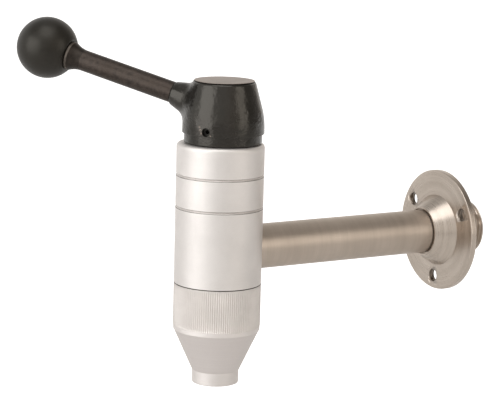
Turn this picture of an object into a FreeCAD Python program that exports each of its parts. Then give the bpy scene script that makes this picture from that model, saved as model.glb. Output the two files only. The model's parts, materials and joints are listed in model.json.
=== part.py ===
"""Fluid spigot: a wall-mounted lever tap with a vertical body and a screwed-on outlet nozzle.

The frame: origin at the centre of the mounting flange's back face, +Y into the wall, +Z up.
The feed tube runs along Y to the tap body, whose vertical axis stands at Y = -wall_reach.
The lever turns the spindle; two helical slots in its barrel lift a cross pin that a slotted
sleeve keeps from turning, and the pin carries the lift rod with the valve plug off its seat.
Heights of the pieces on the tap's axis are measured from the axis of the feed tube.
"""
import FreeCAD, Part
import math
import os
import re
import Sketcher
from FreeCAD import Vector

# Driving dimensions in millimetres, angles in degrees

SIZES = {
    # overall stance
    "wall_reach": 129.0,
    # mounting flange, turned in one with its collar and its threaded stub
    "flange_radius": 30.0,
    "flange_thickness": 3.0,
    "flange_bevel": 0.6,
    "collar_length": 9.1,
    "collar_base_radius": 17.7,
    "collar_lip_radius": 12.1,
    "collar_gap_radius": 11.35,
    "collar_gap_depth": 1.6,
    "stub_radius": 13.22,
    "stub_length": 17.2,
    "stub_relief_radius": 11.9,
    "stub_relief_width": 2.4,
    "stub_bevel": 0.6,
    "screw_circle_radius": 23.5,
    "screw_hole_radius": 3.15,
    "screw_hole_count": 3,
    "screw_hole_turn": 1.9,
    # feed tube and the port it screws into
    "tube_radius": 10.65,
    "tube_wall": 2.0,
    "tube_inner_end": 14.6,
    "tube_flange_end": 1.0,
    "tube_seal_thickness": 1.0,
    # the three turned housing rings, all of one bar size
    "housing_radius": 20.65,
    "body_below_tube": 4.7,
    "body_above_tube": 10.4,
    "guide_ring_height": 15.15,
    "bonnet_height": 14.8,
    "edge_round": 2.0,
    "groove_chamfer": 0.55,
    "joint_chamfer": 0.2,
    # valve body inside
    "chamber_radius": 12.2,
    "chamber_floor_step": 1.15,
    "gland_clearance": 0.85,
    "gland_bore_radius": 15.5,
    "seat_bore_radius": 6.5,
    "seat_lip_width": 1.4,
    "seat_lip_height": 1.2,
    "spigot_gap": 0.25,
    "spigot_length": 11.0,
    "spigot_bevel": 0.8,
    "outlet_flare_radius": 11.0,
    "outlet_flare_length": 7.0,
    # guide housing inside
    "guide_floor_thickness": 5.0,
    "sleeve_bore_height": 10.5,
    "bonnet_bore_radius": 15.5,
    "rod_groove_radius": 6.0,
    "rod_groove_width": 2.1,
    "housing_groove_depth": 1.5,
    "housing_groove_width": 1.9,
    # guide sleeve and its dowel
    "sleeve_radius": 11.5,
    "sleeve_bore_radius": 8.7,
    "sleeve_length": 16.4,
    "dowel_radius": 0.8,
    "dowel_length": 3.4,
    # spindle
    "barrel_radius": 8.6,
    "barrel_bore_radius": 5.55,
    "barrel_bore_height": 14.2,
    "barrel_lift": 0.7,
    "journal_radius": 6.0,
    "spring_bore_radius": 4.3,
    "spring_bore_height": 27.4,
    "drive_square": 10.0,
    "drive_length": 14.6,
    "stem_groove_radius": 4.7,
    "stem_groove_width": 1.6,
    "stem_land": 0.9,
    "thrust_washer_radius": 8.5,
    "thrust_washer_thickness": 1.0,
    "bush_radius": 8.0,
    "bush_length": 9.6,
    # cam, cross pin and lift
    "cam_lift": 6.0,
    "cam_slot_height": 3.8,
    "cam_end_relief": 0.06,
    "cross_pin_radius": 1.5,
    "cross_pin_rise": 3.7,
    "guide_slot_margin": 0.25,
    # lift rod, plug and seal
    "rod_radius": 4.0,
    "rod_head_radius": 5.45,
    "rod_head_above_pin": 4.3,
    "rod_head_below_pin": 2.7,
    "rod_nose_radius": 2.6,
    "rod_nose_length": 3.0,
    "plug_radius": 10.0,
    "plug_thickness": 4.4,
    "plug_cup_depth": 1.7,
    "plug_bevel": 1.2,
    "plug_seal_radius": 8.7,
    "plug_seal_thickness": 2.6,
    "plug_screw_radius": 2.0,
    "plug_screw_depth": 7.0,
    "plug_screw_head_radius": 3.5,
    "plug_screw_head_height": 2.2,
    "plug_screw_head_bevel": 0.8,
    "driver_slot_width": 0.9,
    # closing spring
    "spring_mean_radius": 3.5,
    "spring_wire_radius": 0.5,
    "spring_turns": 6.0,
    # nozzle, its gasket and strainer
    "nozzle_wall": 3.4,
    "knurl_start": 0.7,
    "knurl_length": 19.0,
    "knurl_count": 125,
    "knurl_depth": 0.38,
    "knurl_crest_gap": 0.1,
    "land_length": 2.3,
    "land_drop": 0.12,
    "land_bevel": 0.25,
    "cone_length": 20.05,
    "cone_end_radius": 11.3,
    "spout_radius": 11.1,
    "spout_length": 6.3,
    "spout_wall": 2.1,
    "spout_bevel": 0.5,
    "shelf_width": 3.6,
    "nozzle_groove_depth": 1.7,
    "nozzle_groove_width": 2.2,
    "nozzle_groove_drop": 2.0,
    "gasket_thickness": 1.5,
    "gasket_bore_radius": 12.4,
    "strainer_thickness": 1.0,
    "strainer_hole_radius": 0.9,
    "strainer_ring_pitch": 3.2,
    # lever hub
    "hub_washer_radius": 12.5,
    "hub_washer_thickness": 0.8,
    "hub_gap": 0.35,
    "hub_offset": 1.07,
    "hub_skirt_radius": 18.25,
    "hub_skirt_height": 4.5,
    "hub_skirt_bevel": 0.5,
    "hub_radius": 19.2,
    "hub_height": 28.45,
    "hub_step_bevel": 0.3,
    "hub_band_height": 2.15,
    "hub_turn_height": 10.0,
    "hub_turn_radius": 38.0,
    "hub_edge_drop": 0.6,
    "hub_edge_radius": 1.2,
    "hub_top_radius": 14.5,
    "hub_boss_radius": 12.1,
    "washer_seat_margin": 0.2,
    "hub_recess_depth": 3.0,
    "hub_recess_radius": 16.3,
    "hub_web_height": 17.1,
    "hub_web_thickness": 2.0,
    "hub_well_radius": 9.2,
    "cap_radius": 14.1,
    "cap_rise": 0.6,
    "cap_bevel": 0.15,
    "cap_skirt_wall": 1.1,
    "cap_skirt_length": 2.4,
    "cap_gap": 0.1,
    # hub screw, its washer and the grub screw
    "hub_screw_radius": 3.0,
    "hub_screw_length": 14.0,
    "hub_screw_head_radius": 5.0,
    "hub_screw_head_height": 4.0,
    "hub_screw_flats": 5.0,
    "hub_screw_socket_depth": 2.6,
    "hub_screw_washer_radius": 6.4,
    "hub_screw_washer_thickness": 1.2,
    "grub_rise": 6.75,
    "grub_radius": 2.0,
    "grub_length": 12.0,
    "grub_point": 0.8,
    "grub_flats": 2.0,
    "grub_socket_depth": 2.5,
    # lever arm and ball knob
    "lever_yaw": 218.5,
    "lever_slope": 14.57,
    "lever_rise": 15.07,
    "boss_root_start": 10.0,
    "boss_root_radius": 9.1,
    "boss_end_radius": 5.4,
    "boss_end": 25.0,
    "boss_bevel": 0.3,
    "boss_fillet": 3.5,
    "arm_start": 13.0,
    "arm_thread_radius": 4.0,
    "arm_radius": 5.0,
    "arm_flare_length": 6.8,
    "arm_flare_sweep": 14.0,
    "arm_collar_radius": 6.9,
    "arm_collar_width": 1.3,
    "arm_collar_bevel": 0.3,
    "knob_reach": 93.2,
    "knob_radius": 14.65,
    "knob_flat": 12.3,
    "insert_radius": 6.2,
    "insert_length": 12.0,
    "knob_thread_depth": 11.0,
    # clearances
    "thread_fit": 0.05,
    "seat_fit": 0.05,
    "running_fit": 0.08,
    "nozzle_gap": 0.05,
    "seal_fit": 0.04,
    "bolt_fit": 0.2,
    "washer_fit": 0.3,
    "ring_fit": 0.25,
    "end_gap": 0.4,
    # how far a cut runs past the solid
    "overcut": 1.0,
}

doc = FreeCAD.newDocument("fluid_spigot")
sheet = doc.addObject("Spreadsheet::Sheet", "Dims")
for row, (alias, value) in enumerate(SIZES.items(), start=1):
    sheet.set(f"A{row}", alias)
    sheet.set(f"B{row}", str(value))
    sheet.setAlias(f"B{row}", alias)
doc.recompute()

parts = []


# Expressions and sketches

def bound(text):
    """The expression with every size name pointed at the sheet."""
    return re.sub(r"[a-z]\w*", lambda word: f"Dims.{word[0]}" if word[0] in SIZES else word[0], text)


def size(text):
    """The present value of an expression."""
    return float(sheet.evalExpression(text))


def plane(body, role):
    """An origin plane of the body."""
    return next(item for item in body.Origin.OriginFeatures if item.Role == role)


def new_sketch(body, name, role="XZ_Plane", offset="0", shift=("0", "0"), turn="0"):
    """A sketch on an origin plane, moved by offset along its normal and shifted within it."""
    sketch = body.newObject("Sketcher::SketchObject", name)
    sketch.AttachmentSupport = [(plane(body, role), "")]
    sketch.MapMode = "FlatFace"
    sketch.AttachmentOffset = FreeCAD.Placement(
        Vector(size(shift[0]), size(shift[1]), size(offset)),
        FreeCAD.Rotation(Vector(0, 0, 1), size(turn)),
    )
    sketch.setExpression("AttachmentOffset.Base.x", bound(shift[0]))
    sketch.setExpression("AttachmentOffset.Base.y", bound(shift[1]))
    sketch.setExpression("AttachmentOffset.Base.z", bound(offset))
    if turn != "0":
        sketch.setExpression("AttachmentOffset.Rotation.Angle", bound(turn))
    return sketch


def fix(sketch, kind, geometry, position, text):
    """Ties one coordinate of a point to an expression."""
    if text == "0":
        line = -2 if kind == "DistanceX" else -1
        sketch.addConstraint(Sketcher.Constraint("PointOnObject", geometry, position, line))
        return
    number = sketch.addConstraint(
        Sketcher.Constraint(kind, -1, 1, geometry, position, size(text))
    )
    sketch.setExpression(f"Constraints[{number}]", bound(text))


def arc_between(start, end, radius, side):
    """The minor arc from start to end whose centre lies to the left (side 1) or right (-1)."""
    chord = end - start
    half = chord.Length / 2
    normal = Vector(-chord.y, chord.x, 0).normalize() * side
    centre = start + chord * 0.5 + normal * math.sqrt(max(radius**2 - half**2, 0))
    first = math.atan2(start.y - centre.y, start.x - centre.x)
    last = math.atan2(end.y - centre.y, end.x - centre.x)
    if side < 0:
        first, last = last, first
    if last < first:
        last += 2 * math.pi
    return Part.ArcOfCircle(Part.Circle(centre, Vector(0, 0, 1), radius), first, last)


def outline(sketch, steps):
    """A closed outline of bound corner points. An entry ("arc", radius, side) bends the
    edge from the point before it to the point after it."""
    corners = []
    bends = {}
    for step in steps:
        if step[0] == "arc":
            bends[len(corners) - 1] = step
        else:
            corners.append(step)
    first = sketch.GeometryCount
    spots = [Vector(size(across), size(up), 0) for across, up in corners]
    total = len(corners)
    for index in range(total):
        start = spots[index]
        end = spots[(index + 1) % total]
        if index in bends:
            edge = arc_between(start, end, size(bends[index][1]), bends[index][2])
        else:
            edge = Part.LineSegment(start, end)
        sketch.addGeometry(edge, False)
    for index in range(total):
        following = (index + 1) % total
        leaves = 1 if index in bends and bends[index][2] < 0 else 2
        enters = 2 if following in bends and bends[following][2] < 0 else 1
        sketch.addConstraint(
            Sketcher.Constraint("Coincident", first + index, leaves, first + following, enters)
        )
    for index in range(total):
        enters = 2 if index in bends and bends[index][2] < 0 else 1
        fix(sketch, "DistanceX", first + index, enters, corners[index][0])
        fix(sketch, "DistanceY", first + index, enters, corners[index][1])
        if index in bends:
            number = sketch.addConstraint(
                Sketcher.Constraint("Radius", first + index, size(bends[index][1]))
            )
            sketch.setExpression(f"Constraints[{number}]", bound(bends[index][1]))


def circle(sketch, across, up, radius):
    """A bound circle."""
    number = sketch.GeometryCount
    spot = Vector(size(across), size(up), 0)
    sketch.addGeometry(Part.Circle(spot, Vector(0, 0, 1), size(radius)), False)
    fix(sketch, "DistanceX", number, 3, across)
    fix(sketch, "DistanceY", number, 3, up)
    held = sketch.addConstraint(Sketcher.Constraint("Radius", number, size(radius)))
    sketch.setExpression(f"Constraints[{held}]", bound(radius))


def polygon(sketch, sides, flats, first_angle):
    """A bound regular polygon of even sides, given by its width across flats."""
    points = []
    for index in range(sides):
        angle = first_angle + index * 360 / sides
        reach = f"({flats}) / 2 / cos({180 / sides})"
        points.append((f"{reach} * cos({angle})", f"{reach} * sin({angle})"))
    outline(sketch, points)


# Solid features

def new_part(name):
    """An empty body that becomes one named piece."""
    body = doc.addObject("PartDesign::Body", name)
    body.Label = name
    parts.append(body)
    return body


def place(body, x="0", y="0", z="0", yaw="0", pitch="0", roll="0"):
    """Binds the piece's place in the part's frame."""
    spot = f"vector({x}; {y}; {z})"
    body.setExpression("Placement", bound(f"placement({spot}; rotation({yaw}; {pitch}; {roll}))"))


def revolve(body, sketch, axis="V_Axis", cut=False):
    """Turns the sketch about one of its axes, adding to the body or cutting it."""
    before = body.Shape.Volume if body.Tip else 0
    kind = "PartDesign::Groove" if cut else "PartDesign::Revolution"
    feature = body.newObject(kind, sketch.Name + "_turned")
    feature.Profile = sketch
    feature.ReferenceAxis = (sketch, [axis])
    feature.Angle = 360
    doc.recompute()
    check_cut(body, before, cut)
    return feature


def extrude(body, sketch, length, cut=False, back=False, both=False):
    """Pads or pockets the sketch by a bound length. A pad goes along the sketch's normal
    and a pocket against it, unless back turns it round."""
    before = body.Shape.Volume if body.Tip else 0
    kind = "PartDesign::Pocket" if cut else "PartDesign::Pad"
    feature = body.newObject(kind, sketch.Name + "_extruded")
    feature.Profile = sketch
    feature.Length = size(length)
    feature.setExpression("Length", bound(length))
    feature.Reversed = back
    feature.Midplane = both
    doc.recompute()
    check_cut(body, before, cut)
    return feature


def check_cut(body, before, cut):
    """A cut that points away from the solid removes nothing and must not pass."""
    after = body.Shape.Volume
    if cut and after > before - 1e-6:
        raise RuntimeError(f"{body.Label}: a cut removed nothing")
    if not cut and after < before + 1e-6:
        raise RuntimeError(f"{body.Label}: an addition added nothing")


def around(body, feature, sketch, count, axis="N_Axis"):
    """Repeats a feature evenly about an axis of its sketch."""
    pattern = body.newObject("PartDesign::PolarPattern", feature.Name + "_pattern")
    pattern.Originals = [feature]
    pattern.Axis = (sketch, [axis])
    pattern.Angle = 360
    pattern.Occurrences = int(size(count))
    pattern.setExpression("Occurrences", bound(count))
    body.Tip = pattern
    doc.recompute()
    return pattern


def turned(name, steps):
    """A piece turned about its own Z axis from an outline of (radius, height) points."""
    body = new_part(name)
    sketch = new_sketch(body, name + "_profile")
    outline(sketch, steps)
    revolve(body, sketch)
    return body


def on_tap_axis(body, z="0", yaw="0"):
    """Places a piece on the tap's vertical axis."""
    place(body, y="-wall_reach", z=z, yaw=yaw)


def seal_ring(name, outer, inner, height):
    """An elastic ring that fills the gland between two radii but for its fit."""
    body = new_part(name)
    sketch = new_sketch(body, name + "_section")
    circle(sketch, f"({outer} + {inner}) / 2", height, f"({outer} - ({inner})) / 2 - seal_fit")
    revolve(body, sketch)
    on_tap_axis(body)
    return body


# Heights on the tap's axis, above the axis of the feed tube

JOINT = "(-tube_radius - body_below_tube)"
CHAMBER_FLOOR = "(-tube_radius + chamber_floor_step)"
GLAND_FLOOR = "(tube_radius + gland_clearance)"
BODY_TOP = "(tube_radius + body_above_tube)"
GUIDE_TOP = f"({BODY_TOP} + guide_ring_height)"
BONNET_TOP = f"({GUIDE_TOP} + bonnet_height)"
GUIDE_FLOOR = f"({GLAND_FLOOR} + guide_floor_thickness)"
SLEEVE_BORE_TOP = f"({GUIDE_FLOOR} + sleeve_bore_height)"
SLEEVE_TOP = f"({GUIDE_FLOOR} + sleeve_length)"
SHOULDER = f"({SLEEVE_TOP} + seat_fit + thrust_washer_thickness)"
BARREL_TOP = f"({SHOULDER} - thrust_washer_thickness)"
BARREL_END = f"({GUIDE_FLOOR} + barrel_lift)"
CROSS_PIN = f"({GUIDE_FLOOR} + cross_pin_rise)"
SEAT_LIP = f"({CHAMBER_FLOOR} + seat_lip_height)"
SPIGOT_END = f"({JOINT} - spigot_length)"
HUB_BASE = f"({BONNET_TOP} + hub_gap)"
HUB_STEP = f"({HUB_BASE} + hub_skirt_height)"
HUB_TOP = f"({HUB_BASE} + hub_height)"
HUB_WEB = f"({HUB_BASE} + hub_web_height)"
STEM_TOP = f"({BONNET_TOP} + hub_washer_thickness + drive_length)"

# Radii that follow the housing's

NOZZLE_BORE = "(housing_radius - nozzle_wall)"
SPIGOT = f"({NOZZLE_BORE} - spigot_gap)"


# Mounting flange, feed tube and its seal

def make_mounting_flange():
    """Turned about its own axis: the plate's back face is the zero height, the conical
    collar points down (into the room) and the threaded stub points up (into the wall)."""
    front = "-flange_thickness"
    lip = "(-flange_thickness - collar_length)"
    bore = "(tube_radius - tube_wall)"
    socket = "(tube_radius + thread_fit)"
    body = turned("mounting_flange", [
        (bore, "stub_length"),
        (bore, "-tube_flange_end"),
        (socket, "-tube_flange_end"),
        (socket, f"{lip} + collar_gap_depth"),
        ("collar_gap_radius", f"{lip} + collar_gap_depth"),
        ("collar_gap_radius", lip),
        ("collar_lip_radius", lip),
        ("collar_base_radius", front),
        ("flange_radius - flange_bevel", front),
        ("flange_radius", f"{front} + flange_bevel"),
        ("flange_radius", "0"),
        ("stub_relief_radius", "0"),
        ("stub_relief_radius", "stub_relief_width"),
        ("stub_radius", "stub_relief_width + stub_radius - stub_relief_radius"),
        ("stub_radius", "stub_length - stub_bevel"),
        ("stub_radius - stub_bevel", "stub_length"),
    ])
    holes = new_sketch(body, "screw_hole", role="XY_Plane", offset=front, turn="screw_hole_turn")
    circle(holes, "0", "screw_circle_radius", "screw_hole_radius")
    drilled = extrude(body, holes, "flange_thickness * 2", cut=True, both=True)
    around(body, drilled, holes, "screw_hole_count")
    place(body, roll="-90")


def make_inlet_tube():
    body = turned("inlet_tube", [
        ("tube_radius - tube_wall", "-wall_reach + tube_inner_end"),
        ("tube_radius", "-wall_reach + tube_inner_end"),
        ("tube_radius", "-tube_flange_end"),
        ("tube_radius - tube_wall", "-tube_flange_end"),
    ])
    place(body, roll="-90")
    seal = turned("tube_seal", [
        ("tube_radius - tube_wall + thread_fit", "tube_inner_end - tube_seal_thickness - wall_reach"),
        ("tube_radius - thread_fit", "tube_inner_end - tube_seal_thickness - wall_reach"),
        ("tube_radius - thread_fit", "tube_inner_end - wall_reach"),
        ("tube_radius - tube_wall + thread_fit", "tube_inner_end - wall_reach"),
    ])
    place(seal, roll="-90")


# The three housing rings

def make_valve_body():
    """Lower ring: side port for the tube, valve chamber, raised seat and threaded spigot."""
    groove_top = f"({JOINT} - nozzle_groove_drop)"
    lip_foot = "(seat_bore_radius + seat_lip_width + seat_lip_height / 2)"
    body = turned("valve_body", [
        ("seat_bore_radius", SEAT_LIP),
        ("seat_bore_radius", f"{SPIGOT_END} + outlet_flare_length"),
        ("outlet_flare_radius", SPIGOT_END),
        (f"{SPIGOT} - spigot_bevel", SPIGOT_END),
        (SPIGOT, f"{SPIGOT_END} + spigot_bevel"),
        (SPIGOT, f"{groove_top} - nozzle_groove_width"),
        (f"{SPIGOT} - nozzle_groove_depth", f"{groove_top} - nozzle_groove_width"),
        (f"{SPIGOT} - nozzle_groove_depth", groove_top),
        (SPIGOT, groove_top),
        (SPIGOT, JOINT),
        ("housing_radius - joint_chamfer", JOINT),
        ("housing_radius", f"{JOINT} + joint_chamfer"),
        ("housing_radius", f"{BODY_TOP} - groove_chamfer"),
        ("housing_radius - groove_chamfer", BODY_TOP),
        ("gland_bore_radius", BODY_TOP),
        ("gland_bore_radius", GLAND_FLOOR),
        ("chamber_radius", GLAND_FLOOR),
        ("chamber_radius", CHAMBER_FLOOR),
        (lip_foot, CHAMBER_FLOOR),
        ("seat_bore_radius + seat_lip_width", SEAT_LIP),
    ])
    port = new_sketch(body, "port", offset="-housing_radius - overcut")
    circle(port, "0", "0", "tube_radius + thread_fit")
    depth = "housing_radius + overcut - tube_inner_end + tube_seal_thickness"
    extrude(body, port, depth, cut=True, back=True)
    passage = new_sketch(body, "passage", offset="-housing_radius")
    circle(passage, "0", "0", "tube_radius - tube_wall")
    extrude(body, passage, f"housing_radius - {lip_foot}", cut=True, back=True)
    on_tap_axis(body)


def make_guide_housing():
    """Middle ring: screws into the valve body, its floor guides and seals the lift rod."""
    rod_bore = "(rod_radius + running_fit)"
    groove = f"({GLAND_FLOOR} + guide_floor_thickness / 2 - rod_groove_width / 2)"
    seal_groove = f"({BODY_TOP} - stem_land)"
    thread = "(gland_bore_radius - thread_fit)"
    body = turned("guide_housing", [
        (rod_bore, GLAND_FLOOR),
        (thread, GLAND_FLOOR),
        (thread, f"{seal_groove} - housing_groove_width"),
        (f"{thread} - housing_groove_depth", f"{seal_groove} - housing_groove_width"),
        (f"{thread} - housing_groove_depth", seal_groove),
        (thread, seal_groove),
        (thread, BODY_TOP),
        ("housing_radius - groove_chamfer", BODY_TOP),
        ("housing_radius", f"{BODY_TOP} + groove_chamfer"),
        ("housing_radius", f"{GUIDE_TOP} - groove_chamfer"),
        ("housing_radius - groove_chamfer", GUIDE_TOP),
        ("bonnet_bore_radius", GUIDE_TOP),
        ("bonnet_bore_radius", SLEEVE_BORE_TOP),
        ("sleeve_radius + seat_fit", SLEEVE_BORE_TOP),
        ("sleeve_radius + seat_fit", GUIDE_FLOOR),
        (rod_bore, GUIDE_FLOOR),
        (rod_bore, f"{groove} + rod_groove_width"),
        ("rod_groove_radius", f"{groove} + rod_groove_width"),
        ("rod_groove_radius", groove),
        (rod_bore, groove),
    ])
    dowel = new_sketch(body, "dowel_hole", role="XY_Plane", offset=GUIDE_FLOOR)
    circle(dowel, "0", "(sleeve_radius + sleeve_bore_radius) / 2", "dowel_radius + thread_fit / 2")
    extrude(body, dowel, "dowel_length / 2 + thread_fit", cut=True)
    on_tap_axis(body)
    seal_ring("rod_seal", "rod_groove_radius", "rod_radius", f"{groove} + rod_groove_width / 2")
    seal_ring("housing_seal", "gland_bore_radius", f"({thread} - housing_groove_depth)",
              f"{seal_groove} - housing_groove_width / 2")


def make_bonnet():
    """Top ring: holds the guide sleeve down and carries the spindle in its bush."""
    thread = "(bonnet_bore_radius - thread_fit)"
    body = turned("bonnet", [
        ("journal_radius + running_fit", BONNET_TOP),
        ("journal_radius + running_fit", f"{SHOULDER} + bush_length"),
        ("bush_radius + seat_fit / 2", f"{SHOULDER} + bush_length"),
        ("bush_radius + seat_fit / 2", SHOULDER),
        ("barrel_radius + washer_fit", SHOULDER),
        ("barrel_radius + washer_fit", f"{SLEEVE_TOP} + seat_fit"),
        ("sleeve_radius + seat_fit", f"{SLEEVE_TOP} + seat_fit"),
        ("sleeve_radius + seat_fit", f"{SLEEVE_BORE_TOP} + end_gap"),
        (thread, f"{SLEEVE_BORE_TOP} + end_gap"),
        (thread, GUIDE_TOP),
        ("housing_radius - groove_chamfer", GUIDE_TOP),
        ("housing_radius", f"{GUIDE_TOP} + groove_chamfer"),
        ("housing_radius", f"{BONNET_TOP} - edge_round"),
        ("arc", "edge_round", 1),
        ("housing_radius - edge_round", BONNET_TOP),
    ])
    on_tap_axis(body)


def make_bearings():
    bush = turned("bearing_bush", [
        ("journal_radius + running_fit", SHOULDER),
        ("bush_radius", SHOULDER),
        ("bush_radius", f"{SHOULDER} + bush_length"),
        ("journal_radius + running_fit", f"{SHOULDER} + bush_length"),
    ])
    on_tap_axis(bush)
    washer = turned("thrust_washer", [
        ("journal_radius + washer_fit", f"{BARREL_TOP} + seat_fit"),
        ("thrust_washer_radius", f"{BARREL_TOP} + seat_fit"),
        ("thrust_washer_radius", SHOULDER),
        ("journal_radius + washer_fit", SHOULDER),
    ])
    on_tap_axis(washer)
    slip = turned("hub_washer", [
        ("journal_radius + washer_fit", BONNET_TOP),
        ("hub_washer_radius", BONNET_TOP),
        ("hub_washer_radius", f"{BONNET_TOP} + hub_washer_thickness"),
        ("journal_radius + washer_fit", f"{BONNET_TOP} + hub_washer_thickness"),
    ])
    on_tap_axis(slip)


# The lifting mechanism

def make_guide_sleeve():
    """Slotted sleeve that keeps the cross pin from turning."""
    body = turned("guide_sleeve", [
        ("sleeve_bore_radius", GUIDE_FLOOR),
        ("sleeve_radius", GUIDE_FLOOR),
        ("sleeve_radius", SLEEVE_TOP),
        ("sleeve_bore_radius", SLEEVE_TOP),
    ])
    half = "cross_pin_radius + running_fit"
    low = f"({CROSS_PIN} - guide_slot_margin)"
    high = f"({CROSS_PIN} + cam_lift + guide_slot_margin)"
    slot = new_sketch(body, "guide_slot", role="YZ_Plane")
    outline(slot, [
        (f"-({half})", low),
        ("arc", half, 1),
        ("0", f"{low} - ({half})"),
        ("arc", half, 1),
        (half, low),
        (half, high),
        ("arc", half, 1),
        ("0", f"{high} + {half}"),
        ("arc", half, 1),
        (f"-({half})", high),
    ])
    extrude(body, slot, "(sleeve_radius + overcut) * 2", cut=True, both=True)
    dowel = new_sketch(body, "sleeve_dowel_hole", role="XY_Plane", offset=GUIDE_FLOOR)
    circle(dowel, "0", "(sleeve_radius + sleeve_bore_radius) / 2", "dowel_radius + thread_fit / 2")
    extrude(body, dowel, "dowel_length / 2 + thread_fit", cut=True, back=True)
    on_tap_axis(body)
    pin = turned("guide_dowel", [
        ("0", "-dowel_length / 2"),
        ("dowel_radius", "-dowel_length / 2"),
        ("dowel_radius", "dowel_length / 2"),
        ("0", "dowel_length / 2"),
    ])
    place(pin, y="-wall_reach + (sleeve_radius + sleeve_bore_radius) / 2", z=GUIDE_FLOOR)


def make_spindle():
    """Barrel with two helical cam slots below, journal and square drive above."""
    body = turned("spindle", [
        ("barrel_bore_radius", BARREL_END),
        ("barrel_radius", BARREL_END),
        ("barrel_radius", BARREL_TOP),
        ("journal_radius", BARREL_TOP),
        ("journal_radius", f"{SHOULDER} + bush_length + stem_land"),
        ("stem_groove_radius", f"{SHOULDER} + bush_length + stem_land"),
        ("stem_groove_radius", f"{SHOULDER} + bush_length + stem_land + stem_groove_width"),
        ("journal_radius", f"{SHOULDER} + bush_length + stem_land + stem_groove_width"),
        ("journal_radius", f"{BONNET_TOP} - stem_land - stem_groove_width"),
        ("stem_groove_radius", f"{BONNET_TOP} - stem_land - stem_groove_width"),
        ("stem_groove_radius", f"{BONNET_TOP} - stem_land"),
        ("journal_radius", f"{BONNET_TOP} - stem_land"),
        ("journal_radius", STEM_TOP),
        ("0", STEM_TOP),
        ("0", f"{GUIDE_FLOOR} + spring_bore_height"),
        ("spring_bore_radius", f"{GUIDE_FLOOR} + spring_bore_height"),
        ("spring_bore_radius", f"{GUIDE_FLOOR} + barrel_bore_height"),
        ("barrel_bore_radius", f"{GUIDE_FLOOR} + barrel_bore_height"),
    ])
    square = new_sketch(body, "drive_square", role="XY_Plane", offset=STEM_TOP, turn="lever_yaw")
    polygon(square, 4, "drive_square", 45)
    circle(square, "0", "0", "journal_radius * 2")
    extrude(body, square, "drive_length", cut=True)
    tapped = new_sketch(body, "stem_thread", role="XY_Plane", offset=STEM_TOP)
    circle(tapped, "0", "0", "hub_screw_radius + thread_fit / 2")
    extrude(body, tapped, "hub_screw_length", cut=True)
    cam_slots(body)
    on_tap_axis(body)


def cam_slots(body):
    """Two opposite left-hand helical slots, one quarter turn long, with round ends. They
    start over the cross pin, which lies along X."""
    slot = new_sketch(body, "cam_section")
    half = "cam_slot_height / 2"
    outline(slot, [
        ("barrel_bore_radius - overcut", f"{CROSS_PIN} - {half}"),
        ("barrel_radius + overcut", f"{CROSS_PIN} - {half}"),
        ("barrel_radius + overcut", f"{CROSS_PIN} + {half}"),
        ("barrel_bore_radius - overcut", f"{CROSS_PIN} + {half}"),
    ])
    cam = body.newObject("PartDesign::SubtractiveHelix", "cam_slot")
    cam.Profile = slot
    cam.ReferenceAxis = (slot, ["V_Axis"])
    cam.Mode = "pitch-height-angle"
    cam.LeftHanded = True
    cam.setExpression("Pitch", bound("cam_lift * 4"))
    cam.setExpression("Height", bound("cam_lift"))
    before = body.Shape.Volume
    doc.recompute()
    check_cut(body, before, True)
    around(body, cam, slot, "2", axis="V_Axis")
    for end, role, height in (("low", "YZ_Plane", CROSS_PIN),
                              ("high", "XZ_Plane", f"({CROSS_PIN} + cam_lift)")):
        round_end = new_sketch(body, f"cam_{end}_end", role=role)
        circle(round_end, "0", height, f"{half} + cam_end_relief")
        extrude(body, round_end, "(barrel_radius + overcut) * 2", cut=True, both=True)


def make_stem_seals():
    heights = (
        f"{SHOULDER} + bush_length + stem_land + stem_groove_width / 2",
        f"{BONNET_TOP} - stem_land - stem_groove_width / 2",
    )
    for label, height in zip(("stem_seal_lower", "stem_seal_upper"), heights):
        seal_ring(label, "(journal_radius + running_fit)", "stem_groove_radius", height)


def make_lift_rod():
    """Rod with a wide slotted head for the cross pin and a nose that centres the spring."""
    head = f"({CROSS_PIN} - rod_head_below_pin)"
    head_top = f"({CROSS_PIN} + rod_head_above_pin)"
    foot = f"({SEAT_LIP} + plug_seal_thickness + plug_thickness - plug_cup_depth)"
    body = turned("lift_rod", [
        ("0", foot),
        ("rod_radius", foot),
        ("rod_radius", head),
        ("rod_head_radius", head),
        ("rod_head_radius", head_top),
        ("rod_nose_radius", head_top),
        ("rod_nose_radius", f"{head_top} + rod_nose_length"),
        ("0", f"{head_top} + rod_nose_length"),
    ])
    hole = new_sketch(body, "cross_hole", role="YZ_Plane")
    circle(hole, "0", CROSS_PIN, "cross_pin_radius + seal_fit / 4")
    extrude(body, hole, "(rod_head_radius + overcut) * 2", cut=True, both=True)
    tapped = new_sketch(body, "foot_thread", role="XY_Plane", offset=foot)
    circle(tapped, "0", "0", "plug_screw_radius + thread_fit / 2")
    extrude(body, tapped, "plug_screw_depth", cut=True, back=True)
    on_tap_axis(body)

    pin = turned("cross_pin", [
        ("0", "-sleeve_radius + washer_fit"),
        ("cross_pin_radius", "-sleeve_radius + washer_fit"),
        ("cross_pin_radius", "sleeve_radius - washer_fit"),
        ("0", "sleeve_radius - washer_fit"),
    ])
    place(pin, y="-wall_reach", z=CROSS_PIN, pitch="90")
    return head_top


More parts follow.
